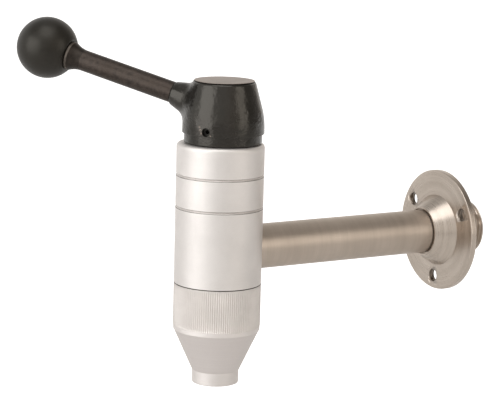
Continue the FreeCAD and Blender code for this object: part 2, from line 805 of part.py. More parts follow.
def make_closing_spring(rod_top):
    """Compression spring between the lift rod's head and the end of the spindle's bore."""
    top = f"({GUIDE_FLOOR} + spring_bore_height)"
    body = new_part("closing_spring")
    wire = new_sketch(body, "wire_section")
    circle(wire, "spring_mean_radius", f"{rod_top} + spring_wire_radius", "spring_wire_radius")
    coil = body.newObject("PartDesign::AdditiveHelix", "coil")
    coil.Profile = wire
    coil.ReferenceAxis = (wire, ["V_Axis"])
    coil.Mode = "height-turns-angle"
    free = f"{top} - {rod_top} - spring_wire_radius * 2"
    coil.setExpression("Height", bound(free))
    coil.setExpression("Turns", bound("spring_turns"))
    doc.recompute()
    on_tap_axis(body)


def make_plug():
    """Cup-shaped plug with a screwed-on elastic disc that closes on the raised seat."""
    seal_base = f"({SEAT_LIP} + seat_fit)"
    seal_top = f"({SEAT_LIP} + plug_seal_thickness)"
    rim = f"({seal_top} - plug_cup_depth)"
    plug_top = f"({rim} + plug_thickness)"
    plug = turned("valve_plug", [
        ("plug_screw_radius + thread_fit", seal_top),
        ("plug_seal_radius + seat_fit", seal_top),
        ("plug_seal_radius + seat_fit", rim),
        ("plug_radius", rim),
        ("plug_radius", f"{plug_top} - plug_bevel"),
        ("plug_radius - plug_bevel", plug_top),
        ("plug_screw_radius + thread_fit", plug_top),
    ])
    on_tap_axis(plug)
    disc = turned("plug_seal", [
        ("plug_screw_radius + thread_fit", seal_base),
        ("plug_seal_radius", seal_base),
        ("plug_seal_radius", seal_top),
        ("plug_screw_radius + thread_fit", seal_top),
    ])
    on_tap_axis(disc)
    head = f"({seal_base} - plug_screw_head_height)"
    screw = turned("plug_screw", [
        ("0", head),
        ("plug_screw_head_radius - plug_screw_head_bevel", head),
        ("plug_screw_head_radius", f"{head} + plug_screw_head_bevel"),
        ("plug_screw_head_radius", seal_base),
        ("plug_screw_radius", seal_base),
        ("plug_screw_radius", f"{plug_top} + plug_screw_depth - end_gap"),
        ("0", f"{plug_top} + plug_screw_depth - end_gap"),
    ])
    slot = new_sketch(screw, "driver_slot", role="XY_Plane", offset=head)
    outline(slot, [
        ("-plug_screw_head_radius - overcut", "-driver_slot_width / 2"),
        ("plug_screw_head_radius + overcut", "-driver_slot_width / 2"),
        ("plug_screw_head_radius + overcut", "driver_slot_width / 2"),
        ("-plug_screw_head_radius - overcut", "driver_slot_width / 2"),
    ])
    extrude(screw, slot, "plug_screw_head_height / 2", cut=True, back=True)
    on_tap_axis(screw)


# Nozzle with its gasket and strainer

def make_nozzle():
    """Knurled cap that tapers to the spout; screws over the valve body's spigot."""
    top = f"({JOINT} - nozzle_gap)"
    gasket = f"({SPIGOT_END} - gasket_thickness)"
    shelf = f"({gasket} - strainer_thickness)"
    knurl_end = f"({top} - knurl_start - knurl_length)"
    cone_top = f"({knurl_end} - land_length)"
    cone_end = f"({cone_top} - cone_length)"
    spout_end = f"({cone_end} - spout_length)"
    bore = "(spout_radius - spout_wall)"
    body = turned("nozzle", [
        (NOZZLE_BORE, top),
        (NOZZLE_BORE, shelf),
        (f"{NOZZLE_BORE} - shelf_width", shelf),
        (f"{NOZZLE_BORE} - shelf_width", cone_top),
        (bore, cone_end),
        (bore, spout_end),
        ("spout_radius - spout_bevel", spout_end),
        ("spout_radius", f"{spout_end} + spout_bevel"),
        ("spout_radius", cone_end),
        ("cone_end_radius", cone_end),
        ("housing_radius - land_drop - land_bevel", cone_top),
        ("housing_radius - land_drop", f"{cone_top} + land_bevel"),
        ("housing_radius - land_drop", knurl_end),
        ("housing_radius", f"{knurl_end} + land_drop"),
        ("housing_radius", f"{top} - joint_chamfer"),
        ("housing_radius - joint_chamfer", top),
    ])
    groove = new_sketch(body, "knurl_groove", role="XY_Plane", offset=f"{top} - knurl_start")
    half = f"(housing_radius * {math.pi} / knurl_count)"
    outline(groove, [
        ("housing_radius - knurl_depth", "0"),
        ("housing_radius + knurl_crest_gap", f"-{half}"),
        ("housing_radius + knurl_crest_gap", half),
    ])
    cut = extrude(body, groove, "knurl_length", cut=True)
    around(body, cut, groove, "knurl_count")
    on_tap_axis(body)

    seal_ring("nozzle_seal", f"({NOZZLE_BORE} - seal_fit)", f"({SPIGOT} - nozzle_groove_depth)",
              f"{JOINT} - nozzle_groove_drop - nozzle_groove_width / 2")
    ring = turned("outlet_gasket", [
        ("gasket_bore_radius", gasket),
        (f"{NOZZLE_BORE} - ring_fit", gasket),
        (f"{NOZZLE_BORE} - ring_fit", f"{SPIGOT_END} - nozzle_gap"),
        ("gasket_bore_radius", f"{SPIGOT_END} - nozzle_gap"),
    ])
    on_tap_axis(ring)
    make_strainer(shelf, gasket)


def make_strainer(shelf, top):
    """Perforated disc: one hole at the centre and rings of six, twelve and eighteen."""
    body = turned("strainer", [
        ("0", shelf),
        (f"{NOZZLE_BORE} - ring_fit", shelf),
        (f"{NOZZLE_BORE} - ring_fit", top),
        ("0", top),
    ])
    middle = new_sketch(body, "strainer_middle", role="XY_Plane", offset=top)
    circle(middle, "0", "0", "strainer_hole_radius")
    extrude(body, middle, "strainer_thickness + overcut", cut=True)
    for ring in (1, 2, 3):
        holes = new_sketch(body, f"strainer_ring_{ring}", role="XY_Plane", offset=top)
        circle(holes, f"strainer_ring_pitch * {ring}", "0", "strainer_hole_radius")
        drilled = extrude(body, holes, "strainer_thickness + overcut", cut=True)
        around(body, drilled, holes, str(6 * ring))
    on_tap_axis(body)


# Lever: hub, cap, screws, arm and knob

def make_lever_hub():
    """Cast hub, a swelling cone over a narrower skirt, with a tapered boss for the arm.
    The lever points along the piece's own +X axis. The casting's outer form stands a little
    behind the spindle; the socket, the arm's hole and the grub screw's stay on its axis."""
    body = new_part("lever_hub")
    behind = ("-hub_offset", "0")
    side = ("(hub_radius - hub_turn_radius"
            " + sqrt(hub_turn_radius * hub_turn_radius - hub_turn_height * hub_turn_height))")
    straight = "(hub_height - hub_skirt_height - hub_band_height - hub_turn_height - hub_edge_drop)"
    profile = new_sketch(body, "hub_profile", shift=behind)
    outline(profile, [
        ("0", HUB_BASE),
        ("hub_skirt_radius - hub_skirt_bevel", HUB_BASE),
        ("hub_skirt_radius", f"{HUB_BASE} + hub_skirt_bevel"),
        ("hub_skirt_radius", HUB_STEP),
        ("hub_radius - hub_step_bevel", HUB_STEP),
        ("hub_radius", f"{HUB_STEP} + hub_step_bevel"),
        ("hub_radius", f"{HUB_STEP} + hub_band_height"),
        ("arc", "hub_turn_radius", 1),
        (side, f"{HUB_STEP} + hub_band_height + hub_turn_height"),
        (f"{side} - {straight} * tan(asin(hub_turn_height / hub_turn_radius))",
         f"{HUB_TOP} - hub_edge_drop"),
        ("arc", "hub_edge_radius", 1),
        ("hub_top_radius", HUB_TOP),
        ("0", HUB_TOP),
    ])
    revolve(body, profile)

    boss = new_sketch(body, "boss_profile", shift=("0", f"{HUB_BASE} + lever_rise"),
                      turn="lever_slope")
    outline(boss, [
        ("boss_root_start", "0"),
        ("boss_root_start", "boss_root_radius"),
        ("boss_end - boss_bevel", "boss_end_radius"),
        ("boss_end", "boss_end_radius - boss_bevel"),
        ("boss_end", "0"),
    ])
    joined = revolve(body, boss, axis="H_Axis")
    fillet = body.newObject("PartDesign::Fillet", "boss_fillet")
    fillet.Base = (joined, root_edges(joined.Shape))
    fillet.setExpression("Radius", bound("boss_fillet"))
    doc.recompute()

    under = new_sketch(body, "under_recess", shift=behind)
    outline(under, [
        ("hub_boss_radius", f"{HUB_BASE} - overcut"),
        ("hub_recess_radius", f"{HUB_BASE} - overcut"),
        ("hub_recess_radius", f"{HUB_BASE} + hub_recess_depth"),
        ("hub_boss_radius", f"{HUB_BASE} + hub_recess_depth"),
    ])
    revolve(body, under, cut=True)
    seat = new_sketch(body, "washer_seat", role="XY_Plane", offset=f"{HUB_BASE} - overcut")
    circle(seat, "0", "0", "hub_boss_radius + hub_offset + washer_seat_margin")
    extrude(body, seat, "overcut + hub_washer_thickness - hub_gap + seat_fit", cut=True, back=True)
    well = new_sketch(body, "screw_well", role="XY_Plane", offset=HUB_TOP, shift=behind)
    circle(well, "0", "0", "hub_well_radius")
    extrude(body, well, "hub_height - hub_web_height - hub_web_thickness", cut=True)
    socket = new_sketch(body, "drive_socket", role="XY_Plane", offset=HUB_BASE)
    polygon(socket, 4, "drive_square + seat_fit * 2", 45)
    extrude(body, socket, "hub_web_height", cut=True, back=True)
    screw_way = new_sketch(body, "screw_way", role="XY_Plane", offset=HUB_TOP)
    circle(screw_way, "0", "0", "hub_screw_radius + bolt_fit")
    extrude(body, screw_way, "hub_height", cut=True)

    arm_hole = new_sketch(body, "arm_hole", shift=("0", f"{HUB_BASE} + lever_rise"),
                          turn="lever_slope")
    outline(arm_hole, [
        ("arm_start", "0"),
        ("arm_start", "arm_thread_radius + thread_fit"),
        ("boss_end + overcut", "arm_thread_radius + thread_fit"),
        ("boss_end + overcut", "0"),
    ])
    revolve(body, arm_hole, axis="H_Axis", cut=True)
    grub_hole = new_sketch(body, "grub_hole")
    circle(grub_hole, "0", f"{HUB_BASE} + grub_rise", "grub_radius + thread_fit / 2")
    extrude(body, grub_hole, "hub_radius + overcut", cut=True)
    on_tap_axis(body, yaw="lever_yaw")


def root_edges(shape):
    """Names of the edges where the sloping boss meets the upright hub."""
    upright = Vector(0, 0, 1)
    names = []
    for number, edge in enumerate(shape.Edges, start=1):
        faces = shape.ancestorsOfType(edge, Part.Face)
        rises = [abs(getattr(face.Surface, "Axis", upright).z) for face in faces]
        if min(rises) < 0.5 < max(rises):
            names.append(f"Edge{number}")
    return names


def make_hub_cap():
    """Flat cap that closes the screw well and stands a little proud of the hub."""
    base = f"({HUB_TOP} + cap_gap)"
    top = f"({HUB_TOP} + cap_rise)"
    skirt = "(hub_well_radius - thread_fit)"
    body = turned("hub_cap", [
        ("0", top),
        ("0", base),
        (f"{skirt} - cap_skirt_wall", base),
        (f"{skirt} - cap_skirt_wall", f"{base} - cap_skirt_length"),
        (skirt, f"{base} - cap_skirt_length"),
        (skirt, base),
        ("cap_radius", base),
        ("cap_radius", f"{top} - cap_bevel"),
        ("cap_radius - cap_bevel", top),
    ])
    place(body, x="-hub_offset * cos(lever_yaw)", y="-wall_reach - hub_offset * sin(lever_yaw)")


def make_hub_screws():
    web_top = f"({HUB_WEB} + hub_web_thickness)"
    washer_top = f"({web_top} + hub_screw_washer_thickness)"
    washer = turned("hub_screw_washer", [
        ("hub_screw_radius + bolt_fit", web_top),
        ("hub_screw_washer_radius", web_top),
        ("hub_screw_washer_radius", washer_top),
        ("hub_screw_radius + bolt_fit", washer_top),
    ])
    on_tap_axis(washer)
    head_top = f"({washer_top} + hub_screw_head_height)"
    screw = turned("hub_screw", [
        ("0", f"{STEM_TOP} - hub_screw_length + end_gap"),
        ("hub_screw_radius", f"{STEM_TOP} - hub_screw_length + end_gap"),
        ("hub_screw_radius", washer_top),
        ("hub_screw_head_radius", washer_top),
        ("hub_screw_head_radius", head_top),
        ("0", head_top),
    ])
    socket = new_sketch(screw, "screw_socket", role="XY_Plane", offset=head_top)
    polygon(socket, 6, "hub_screw_flats", 30)
    extrude(screw, socket, "hub_screw_socket_depth", cut=True)
    on_tap_axis(screw)

    grub = turned("grub_screw", [
        ("0", "0"),
        ("grub_radius - grub_point", "0"),
        ("grub_radius", "grub_point"),
        ("grub_radius", "grub_length"),
        ("0", "grub_length"),
    ])
    hex_hole = new_sketch(grub, "grub_socket", role="XY_Plane", offset="grub_length")
    polygon(hex_hole, 6, "grub_flats", 30)
    extrude(grub, hex_hole, "grub_socket_depth", cut=True)
    point = "(drive_square / 2 + seat_fit)"
    place(grub, x=f"{point} * sin(360 - lever_yaw)", y=f"-wall_reach + {point} * cos(lever_yaw)",
          z=f"{HUB_BASE} + grub_rise", yaw="lever_yaw", roll="-90")


def make_lever_arm():
    """Bar with a thread at each end and a flared collar that backs the knob."""
    flat = "(knob_reach - knob_flat)"
    collar = f"({flat} - arm_collar_width)"
    arm = turned("lever_arm", [
        ("0", "arm_start + end_gap"),
        ("arm_thread_radius", "arm_start + end_gap"),
        ("arm_thread_radius", "boss_end"),
        ("arm_radius", "boss_end"),
        ("arm_radius", f"{collar} - arm_flare_length"),
        ("arc", "arm_flare_sweep", -1),
        ("arm_collar_radius - arm_collar_bevel", f"{collar} - arm_collar_bevel"),
        ("arm_collar_radius", collar),
        ("arm_collar_radius", f"{flat} - arm_collar_bevel"),
        ("arm_collar_radius - arm_collar_bevel", flat),
        ("arm_thread_radius", flat),
        ("arm_thread_radius", f"{flat} + knob_thread_depth - end_gap"),
        ("0", f"{flat} + knob_thread_depth - end_gap"),
    ])
    insert = turned("knob_insert", [
        ("arm_thread_radius + thread_fit", flat),
        ("insert_radius", flat),
        ("insert_radius", f"{flat} + insert_length"),
        ("0", f"{flat} + insert_length"),
        ("0", f"{flat} + knob_thread_depth"),
        ("arm_thread_radius + thread_fit", f"{flat} + knob_thread_depth"),
    ])
    rim = "sqrt(knob_radius * knob_radius - knob_flat * knob_flat)"
    socket = "(insert_radius + seat_fit)"
    knob = turned("ball_knob", [
        (socket, flat),
        (rim, flat),
        ("arc", "knob_radius", 1),
        ("knob_radius", "knob_reach"),
        ("arc", "knob_radius", 1),
        ("0", "knob_reach + knob_radius"),
        ("0", f"{flat} + insert_length"),
        (socket, f"{flat} + insert_length"),
    ])
    for body in (arm, insert, knob):
        place(body, y="-wall_reach", z=f"{HUB_BASE} + lever_rise", yaw="lever_yaw",
              pitch="90 - lever_slope")


make_mounting_flange()
make_inlet_tube()
make_valve_body()
make_guide_housing()
make_bonnet()
make_bearings()
make_guide_sleeve()
make_spindle()
make_stem_seals()
ROD_TOP = make_lift_rod()
make_closing_spring(ROD_TOP)
make_plug()
make_nozzle()
make_lever_hub()
make_hub_cap()
make_hub_screws()
make_lever_arm()

doc.recompute()
for item in doc.Objects:
    if "Invalid" in item.State or "Error" in item.State:
        raise RuntimeError(f"{item.Label} failed: {item.State}")
for piece in parts:
    if piece.Shape.isNull() or not piece.Shape.isValid():
        raise RuntimeError(f"{piece.Label} has no valid shape")
    if len(piece.Shape.Solids) != 1:
        raise RuntimeError(f"{piece.Label} has {len(piece.Shape.Solids)} solids")

os.makedirs("parts", exist_ok=True)
for piece in parts:
    piece.Shape.exportStep(f"parts/{piece.Label}.step")
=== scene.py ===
"""Looks of the fluid spigot: turned housing, knurled nozzle, stainless feed tube and flange,
black lever hub with its arm and ball knob. Lengths in the profiles are millimetres."""

import json
import math

import bmesh
import bpy
import numpy as np
from mathutils import Matrix, Vector


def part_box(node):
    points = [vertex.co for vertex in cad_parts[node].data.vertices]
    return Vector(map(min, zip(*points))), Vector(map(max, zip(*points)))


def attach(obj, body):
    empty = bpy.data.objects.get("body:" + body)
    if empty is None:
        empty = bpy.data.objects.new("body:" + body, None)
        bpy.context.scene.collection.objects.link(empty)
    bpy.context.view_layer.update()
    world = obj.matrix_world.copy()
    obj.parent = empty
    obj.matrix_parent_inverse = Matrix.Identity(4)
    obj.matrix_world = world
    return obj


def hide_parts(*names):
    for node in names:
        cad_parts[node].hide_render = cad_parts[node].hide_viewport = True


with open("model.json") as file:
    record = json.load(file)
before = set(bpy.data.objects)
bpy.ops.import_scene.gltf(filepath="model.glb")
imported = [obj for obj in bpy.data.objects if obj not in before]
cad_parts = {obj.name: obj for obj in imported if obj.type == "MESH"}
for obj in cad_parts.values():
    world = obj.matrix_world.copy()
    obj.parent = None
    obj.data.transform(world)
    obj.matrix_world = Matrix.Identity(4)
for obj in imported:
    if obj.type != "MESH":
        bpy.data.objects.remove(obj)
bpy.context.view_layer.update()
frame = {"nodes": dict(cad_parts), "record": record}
nodes = frame["nodes"]

MM = 0.001


# Sizes read from the frame, in millimetres

def extent(node):
    """Lowest and highest corner of a node in millimetres."""
    low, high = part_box(node)
    return low / MM, high / MM


BODY_LOW, BODY_HIGH = extent("valve_body")
HOUSING_RADIUS = (BODY_HIGH.x - BODY_LOW.x) / 2
AXIS_Y = (BODY_LOW.y + BODY_HIGH.y) / 2
BODY_TOP = BODY_HIGH.z
SPIGOT_END = BODY_LOW.z
GUIDE_TOP = extent("guide_housing")[1].z
BONNET_TOP = extent("bonnet")[1].z
NOZZLE_TOP = extent("nozzle")[1].z
SPOUT_END = extent("nozzle")[0].z
HUB_BASE = extent("lever_hub")[0].z
HUB_TOP = extent("lever_hub")[1].z
CAP_TOP = extent("hub_cap")[1].z
TUBE_RADIUS = extent("inlet_tube")[1].x
TUBE_INNER = extent("inlet_tube")[0].y
TUBE_OUTER = extent("inlet_tube")[1].y
FLANGE_RADIUS = extent("mounting_flange")[1].x
LIP_Y = extent("mounting_flange")[0].y
STUB_Y = extent("mounting_flange")[1].y

# Housing sizes, the same as in the part's solids

GROOVE_CHAMFER = 0.55
JOINT_CHAMFER = 0.2
EDGE_ROUND = 2.0
THREAD_FIT = 0.05
SEAT_BORE = 6.5
SEAT_LIP = -8.3
SEAT_LIP_RADIUS = 7.9
SEAT_FOOT_RADIUS = 8.5
OUTLET_FLARE_LENGTH = 7.0
OUTLET_FLARE_RADIUS = 11.0
SPIGOT_RADIUS = 17.0
NOZZLE_GAP = 0.05
NOZZLE_GROOVE_DROP = 2.0
NOZZLE_GROOVE_WIDTH = 2.2
NOZZLE_GROOVE_DEPTH = 1.7
CHAMBER_RADIUS = 12.2
CHAMBER_FLOOR = -9.5
GLAND_BORE = 15.5
GLAND_FLOOR = 11.5
GUIDE_FLOOR = 16.5
ROD_BORE = 4.08
SLEEVE_BORE = 11.55
SLEEVE_BORE_TOP = 27.0
END_GAP = 0.4

# Nozzle sizes, the same as in the solids

NOZZLE_BORE = 17.25
SHELF_RADIUS = 13.65
SHELF_DEPTH = 2.5
KNURL_START = 0.7
KNURL_COUNT = 125
LAND_DROP = 0.12
LAND_BEVEL = 0.25
CONE_END_RADIUS = 11.3
SPOUT_RADIUS = 11.1
SPOUT_BORE = 9.0

# Flange and tube sizes, the same as in the solids

FLANGE_THICKNESS = 3.0
COLLAR_BASE_RADIUS = 17.7
COLLAR_LIP_RADIUS = 12.1
COLLAR_GAP_RADIUS = 11.35
COLLAR_GAP_DEPTH = 1.6
STUB_RADIUS = 13.22
STUB_RELIEF_RADIUS = 11.9
STUB_RELIEF_WIDTH = 2.4
STUB_BEVEL = 0.6
SCREW_CIRCLE = 23.5
SCREW_HOLE = 3.15
SCREW_HOLE_TURN = 1.9
TUBE_BORE = 8.65

# Lever sizes, the same as in the solids

HUB_OFFSET = 1.07
HUB_SKIRT_RADIUS = 18.25
HUB_SKIRT_HEIGHT = 4.5
HUB_RADIUS = 19.2
HUB_BAND_HEIGHT = 2.15
HUB_TURN_HEIGHT = 10.0
HUB_TURN_RADIUS = 38.0
HUB_EDGE_DROP = 0.6
HUB_TOP_RADIUS = 14.5
HUB_WELL_RADIUS = 9.2
CAP_RADIUS = 14.1
CAP_SKIRT_RADIUS = 9.1
CAP_SKIRT_BORE = 8.0
CAP_SKIRT_LENGTH = 2.4
LEVER_YAW = math.radians(218.5)
LEVER_SLOPE = math.radians(14.57)
LEVER_RISE = 15.07
BOSS_START = 10.0
BOSS_ROOT_RADIUS = 9.1
BOSS_END = 25.0
BOSS_END_RADIUS = 5.4
GRUB_RISE = 6.75
ARM_THREAD_RADIUS = 4.0
ARM_RADIUS = 5.0
ARM_FLARE_LENGTH = 6.8
ARM_COLLAR_RADIUS = 6.9
ARM_COLLAR_WIDTH = 1.3
KNOB_REACH = 93.2
KNOB_RADIUS = 14.65
KNOB_FLAT = 12.3
INSERT_LENGTH = 12.0

# More sizes and shares of the scene's profiles, some a little otherwise than in the solids

PORT_START = 13.6
SLEEVE_ROOM_TOP = 33.0
BONNET_BORE = 6.1
SPIGOT_BEVEL = 0.9
SPIGOT_PITCH = 1.5
SPIGOT_THREAD_DEPTH = 0.85
STUB_PITCH = 1.814
STUB_THREAD_DEPTH = 1.05
THREAD_CREST = 0.12
KNURL_LENGTH = 19.7
KNURL_DEPTH = 0.3
KNURL_RUNOUT = 0.35
KNURL_SHARPNESS = 0.8
LAND_LENGTH = 2.1
CONE_LENGTH = 19.55
HUB_SKIN = 0.6
HUB_EDGE_BLEND = 0.9
BOSS_EDGE_BLEND = 0.5
FILLET_ABOVE = 3.2
FILLET_BELOW = 4.0
FILLET_ABOVE_HEIGHT = 71
FILLET_BELOW_HEIGHT = 63
BOSS_DROOP = 0.3
BOSS_DROOP_TAPER = 0.08
GRUB_RADIUS = 2.02
ARM_START = 13.4
ARM_FLARE_SWEEP = 2.1
ARM_THREAD_LENGTH = 10.6
SOCKET_RADIUS = 6.25

KNURL_END = NOZZLE_TOP - KNURL_START - KNURL_LENGTH
CONE_TOP = KNURL_END - LAND_LENGTH
CONE_END = CONE_TOP - CONE_LENGTH
HUB_STEP = HUB_BASE + HUB_SKIRT_HEIGHT
COLLAR_END = KNOB_REACH - KNOB_FLAT
COLLAR_START = COLLAR_END - ARM_COLLAR_WIDTH

# Local frames: each maps a turned piece's own Z axis onto the object

ON_TAP = Matrix.Translation((0, AXIS_Y * MM, 0))
ON_TUBE = Matrix.Rotation(math.radians(-90), 4, "X")
ON_LEVER = (
    Matrix.Translation((0, AXIS_Y * MM, (HUB_BASE + LEVER_RISE) * MM))
    @ Matrix.Rotation(LEVER_YAW, 4, "Z")
    @ Matrix.Rotation(math.radians(90) - LEVER_SLOPE, 4, "Y")
)
ON_HUB = Matrix.Translation((0, AXIS_Y * MM, 0)) @ Matrix.Rotation(LEVER_YAW, 4, "Z")
ON_CASTING = ON_HUB @ Matrix.Translation((-HUB_OFFSET * MM, 0, 0))
LEVER_FOOT = ON_LEVER.translation
LEVER_WAY = tuple(ON_LEVER.to_3x3() @ Vector((0, 0, 1)))
TAP_CENTRE = (0.0, AXIS_Y * MM)
TUBE_CENTRE = (0.0, 0.0)


def millimetre_matrix(place):
    """The inverse of a place, for points in millimetres."""
    inverse = np.array(place.inverted())
    inverse[:3, 3] /= MM
    return inverse


TO_LEVER = millimetre_matrix(ON_LEVER)
TO_CASTING = millimetre_matrix(ON_CASTING)


# Mesh building

LONGEST_BEND = 0.45
SUPPORT_MARGIN = 0.12
SHARP_ANGLE = 38


def corner(radius, height, bend=0.0):
    return (radius, height, bend)


def rounded(corners, steps=5):
    """A profile from corners (radius, height, round), each corner bent by its own radius,
    with a support point beside each bend so that flat stretches stay flat."""
    profile = []
    total = len(corners)
    for index, (radius, height, bend) in enumerate(corners):
        here = Vector((radius, height))
        if bend <= 0 or index in (0, total - 1):
            profile.append(here)
            continue
        back = Vector(corners[index - 1][:2]) - here
        ahead = Vector(corners[index + 1][:2]) - here
        reach = min(bend / math.tan(back.angle(ahead) / 2),
                    back.length * LONGEST_BEND, ahead.length * LONGEST_BEND)
        start = here + back.normalized() * reach
        end = here + ahead.normalized() * reach
        margin = min(SUPPORT_MARGIN, reach * 0.5)
        profile.append(start + back.normalized() * margin)
        for step in range(steps + 1):
            share = step / steps
            first = start.lerp(here, share)
            second = here.lerp(end, share)
            profile.append(first.lerp(second, share))
        profile.append(end + ahead.normalized() * margin)
    return profile


def filled(profile, low, high, spacing):
    """The profile with extra points where its height lies between low and high."""
    dense = [profile[0]]
    for before, after in zip(profile, profile[1:]):
        inside = min(before.y, after.y) < high and max(before.y, after.y) > low
        count = max(1, round((after - before).length / spacing)) if inside else 1
        for step in range(1, count + 1):
            dense.append(before.lerp(after, step / count))
    return dense


def lathe(name, profile, place, segments=192, closed=False, shape=None):
    """A turned mesh from a profile of (radius, height) points. shape, if given, returns the
    radius at (angle, height, radius), for threads and knurls."""
    verts = []
    rings = []
    for radius, height in profile:
        if radius < 1e-6:
            rings.append([len(verts)])
            verts.append(place @ Vector((0, 0, height * MM)))
            continue
        ring = []
        for step in range(segments):
            angle = 2 * math.pi * step / segments
            there = shape(angle, height, radius) if shape else radius
            ring.append(len(verts))
            spot = Vector((there * math.cos(angle), there * math.sin(angle), height))
            verts.append(place @ (spot * MM))
        rings.append(ring)
    faces = []
    pairs = list(zip(rings, rings[1:]))
    if closed:
        pairs.append((rings[-1], rings[0]))
    for low, high in pairs:
        if len(low) == 1 and len(high) == 1:
            continue
        for step in range(segments):
            following = (step + 1) % segments
            if len(low) == 1:
                faces.append((low[0], high[step], high[following]))
            elif len(high) == 1:
                faces.append((low[step], high[0], low[following]))
            else:
                faces.append((low[step], high[step], high[following], low[following]))
    mesh = bpy.data.meshes.new(name)
    mesh.from_pydata(verts, [], faces)
    piece = bpy.data.objects.new(name, mesh)
    bpy.context.scene.collection.objects.link(piece)
    tidy(mesh)
    return piece


def tidy(mesh):
    """Outward normals, smooth shading, sharp true edges."""
    work = bmesh.new()
    work.from_mesh(mesh)
    bmesh.ops.remove_doubles(work, verts=work.verts, dist=1e-7)
    bmesh.ops.recalc_face_normals(work, faces=work.faces)
    work.to_mesh(mesh)
    work.free()
    mesh.shade_smooth()
    mesh.set_sharp_from_angle(angle=math.radians(SHARP_ANGLE))


def apply_modifiers(piece):
    """Bakes the piece's modifiers into its mesh."""
    bpy.context.view_layer.update()
    graph = bpy.context.evaluated_depsgraph_get()
    mesh = bpy.data.meshes.new_from_object(piece.evaluated_get(graph))
    old = piece.data
    piece.modifiers.clear()
    piece.data = mesh
    bpy.data.meshes.remove(old)


def combine(piece, other, operation):
    """Boolean of the piece with another, which is then removed."""
    change = piece.modifiers.new("combine", "BOOLEAN")
    change.object = other
    change.operation = operation
    change.solver = "EXACT"
    apply_modifiers(piece)
    bpy.data.objects.remove(other)


def cut(piece, name, radius, low, high, place, segments=64):
    """Drills a plain round hole."""
    drill = [Vector((0, low)), Vector((radius, low)), Vector((radius, high)), Vector((0, high))]
    combine(piece, lathe(name, drill, place, segments), "DIFFERENCE")


def thread(crest, depth, pitch, low, high, fade):
    """Radius of a V thread with flats that fades out at both ends. What lies deeper than
    the thread keeps its radius."""
    def radius_at(angle, height, radius):
        if not low < height < high or radius < crest - depth - 0.05:
            return radius
        phase = (height / pitch + angle / (2 * math.pi)) % 1
        slope = (abs(phase - 0.5) * 2 - THREAD_CREST) / (1 - 2 * THREAD_CREST)
        strength = min(1, (height - low) / fade, (high - height) / fade)
        return radius - depth * (1 - min(1, max(0, slope))) * strength
    return radius_at


# Materials

WARM_SHEEN = (1.0, 0.95, 0.86, 1)


def linear(red, green, blue):
    """Scene colour of an 8-bit display colour."""
    def one(value):
        value /= 255
        return value / 12.92 if value <= 0.04045 else ((value + 0.055) / 1.055) ** 2.4
    return (one(red), one(green), one(blue), 1)


class Nodes:
    """Short ways to make the nodes of one tree and to join them."""

    def __init__(self, tree):
        self.tree = tree

    def node(self, kind, **settings):
        made = self.tree.nodes.new(kind)
        for key, value in settings.items():
            setattr(made, key, value)
        return made

    def feed(self, socket, value):
        """Gives a socket a constant, or joins another node's output to it."""
        if isinstance(value, (int, float, tuple)):
            socket.default_value = value
        else:
            self.tree.links.new(value, socket)

    def math(self, operation, first, second=None):
        made = self.node("ShaderNodeMath", operation=operation)
        self.feed(made.inputs[0], first)
        if second is not None:
            self.feed(made.inputs[1], second)
        return made.outputs[0]

    def measure(self, operation, place, other):
        """The dot product or the distance of a place and a constant vector."""
        made = self.node("ShaderNodeVectorMath", operation=operation)
        self.feed(made.inputs[0], place)
        made.inputs[1].default_value = other
        return made.outputs["Value"]

    def stretch(self, value, low, high, to_low, to_high, shape="LINEAR"):
        """Maps a range of values onto another and holds the ends."""
        made = self.node("ShaderNodeMapRange", interpolation_type=shape)
        self.feed(made.inputs["Value"], value)
        for key, number in zip(("From Min", "From Max", "To Min", "To Max"),
                               (low, high, to_low, to_high)):
            made.inputs[key].default_value = number
        return made.outputs[0]

    def blend(self, share, first, second):
        made = self.node("ShaderNodeMix", data_type="RGBA")
        for index, value in ((0, share), (6, first), (7, second)):
            self.feed(made.inputs[index], value)
        return made.outputs[2]


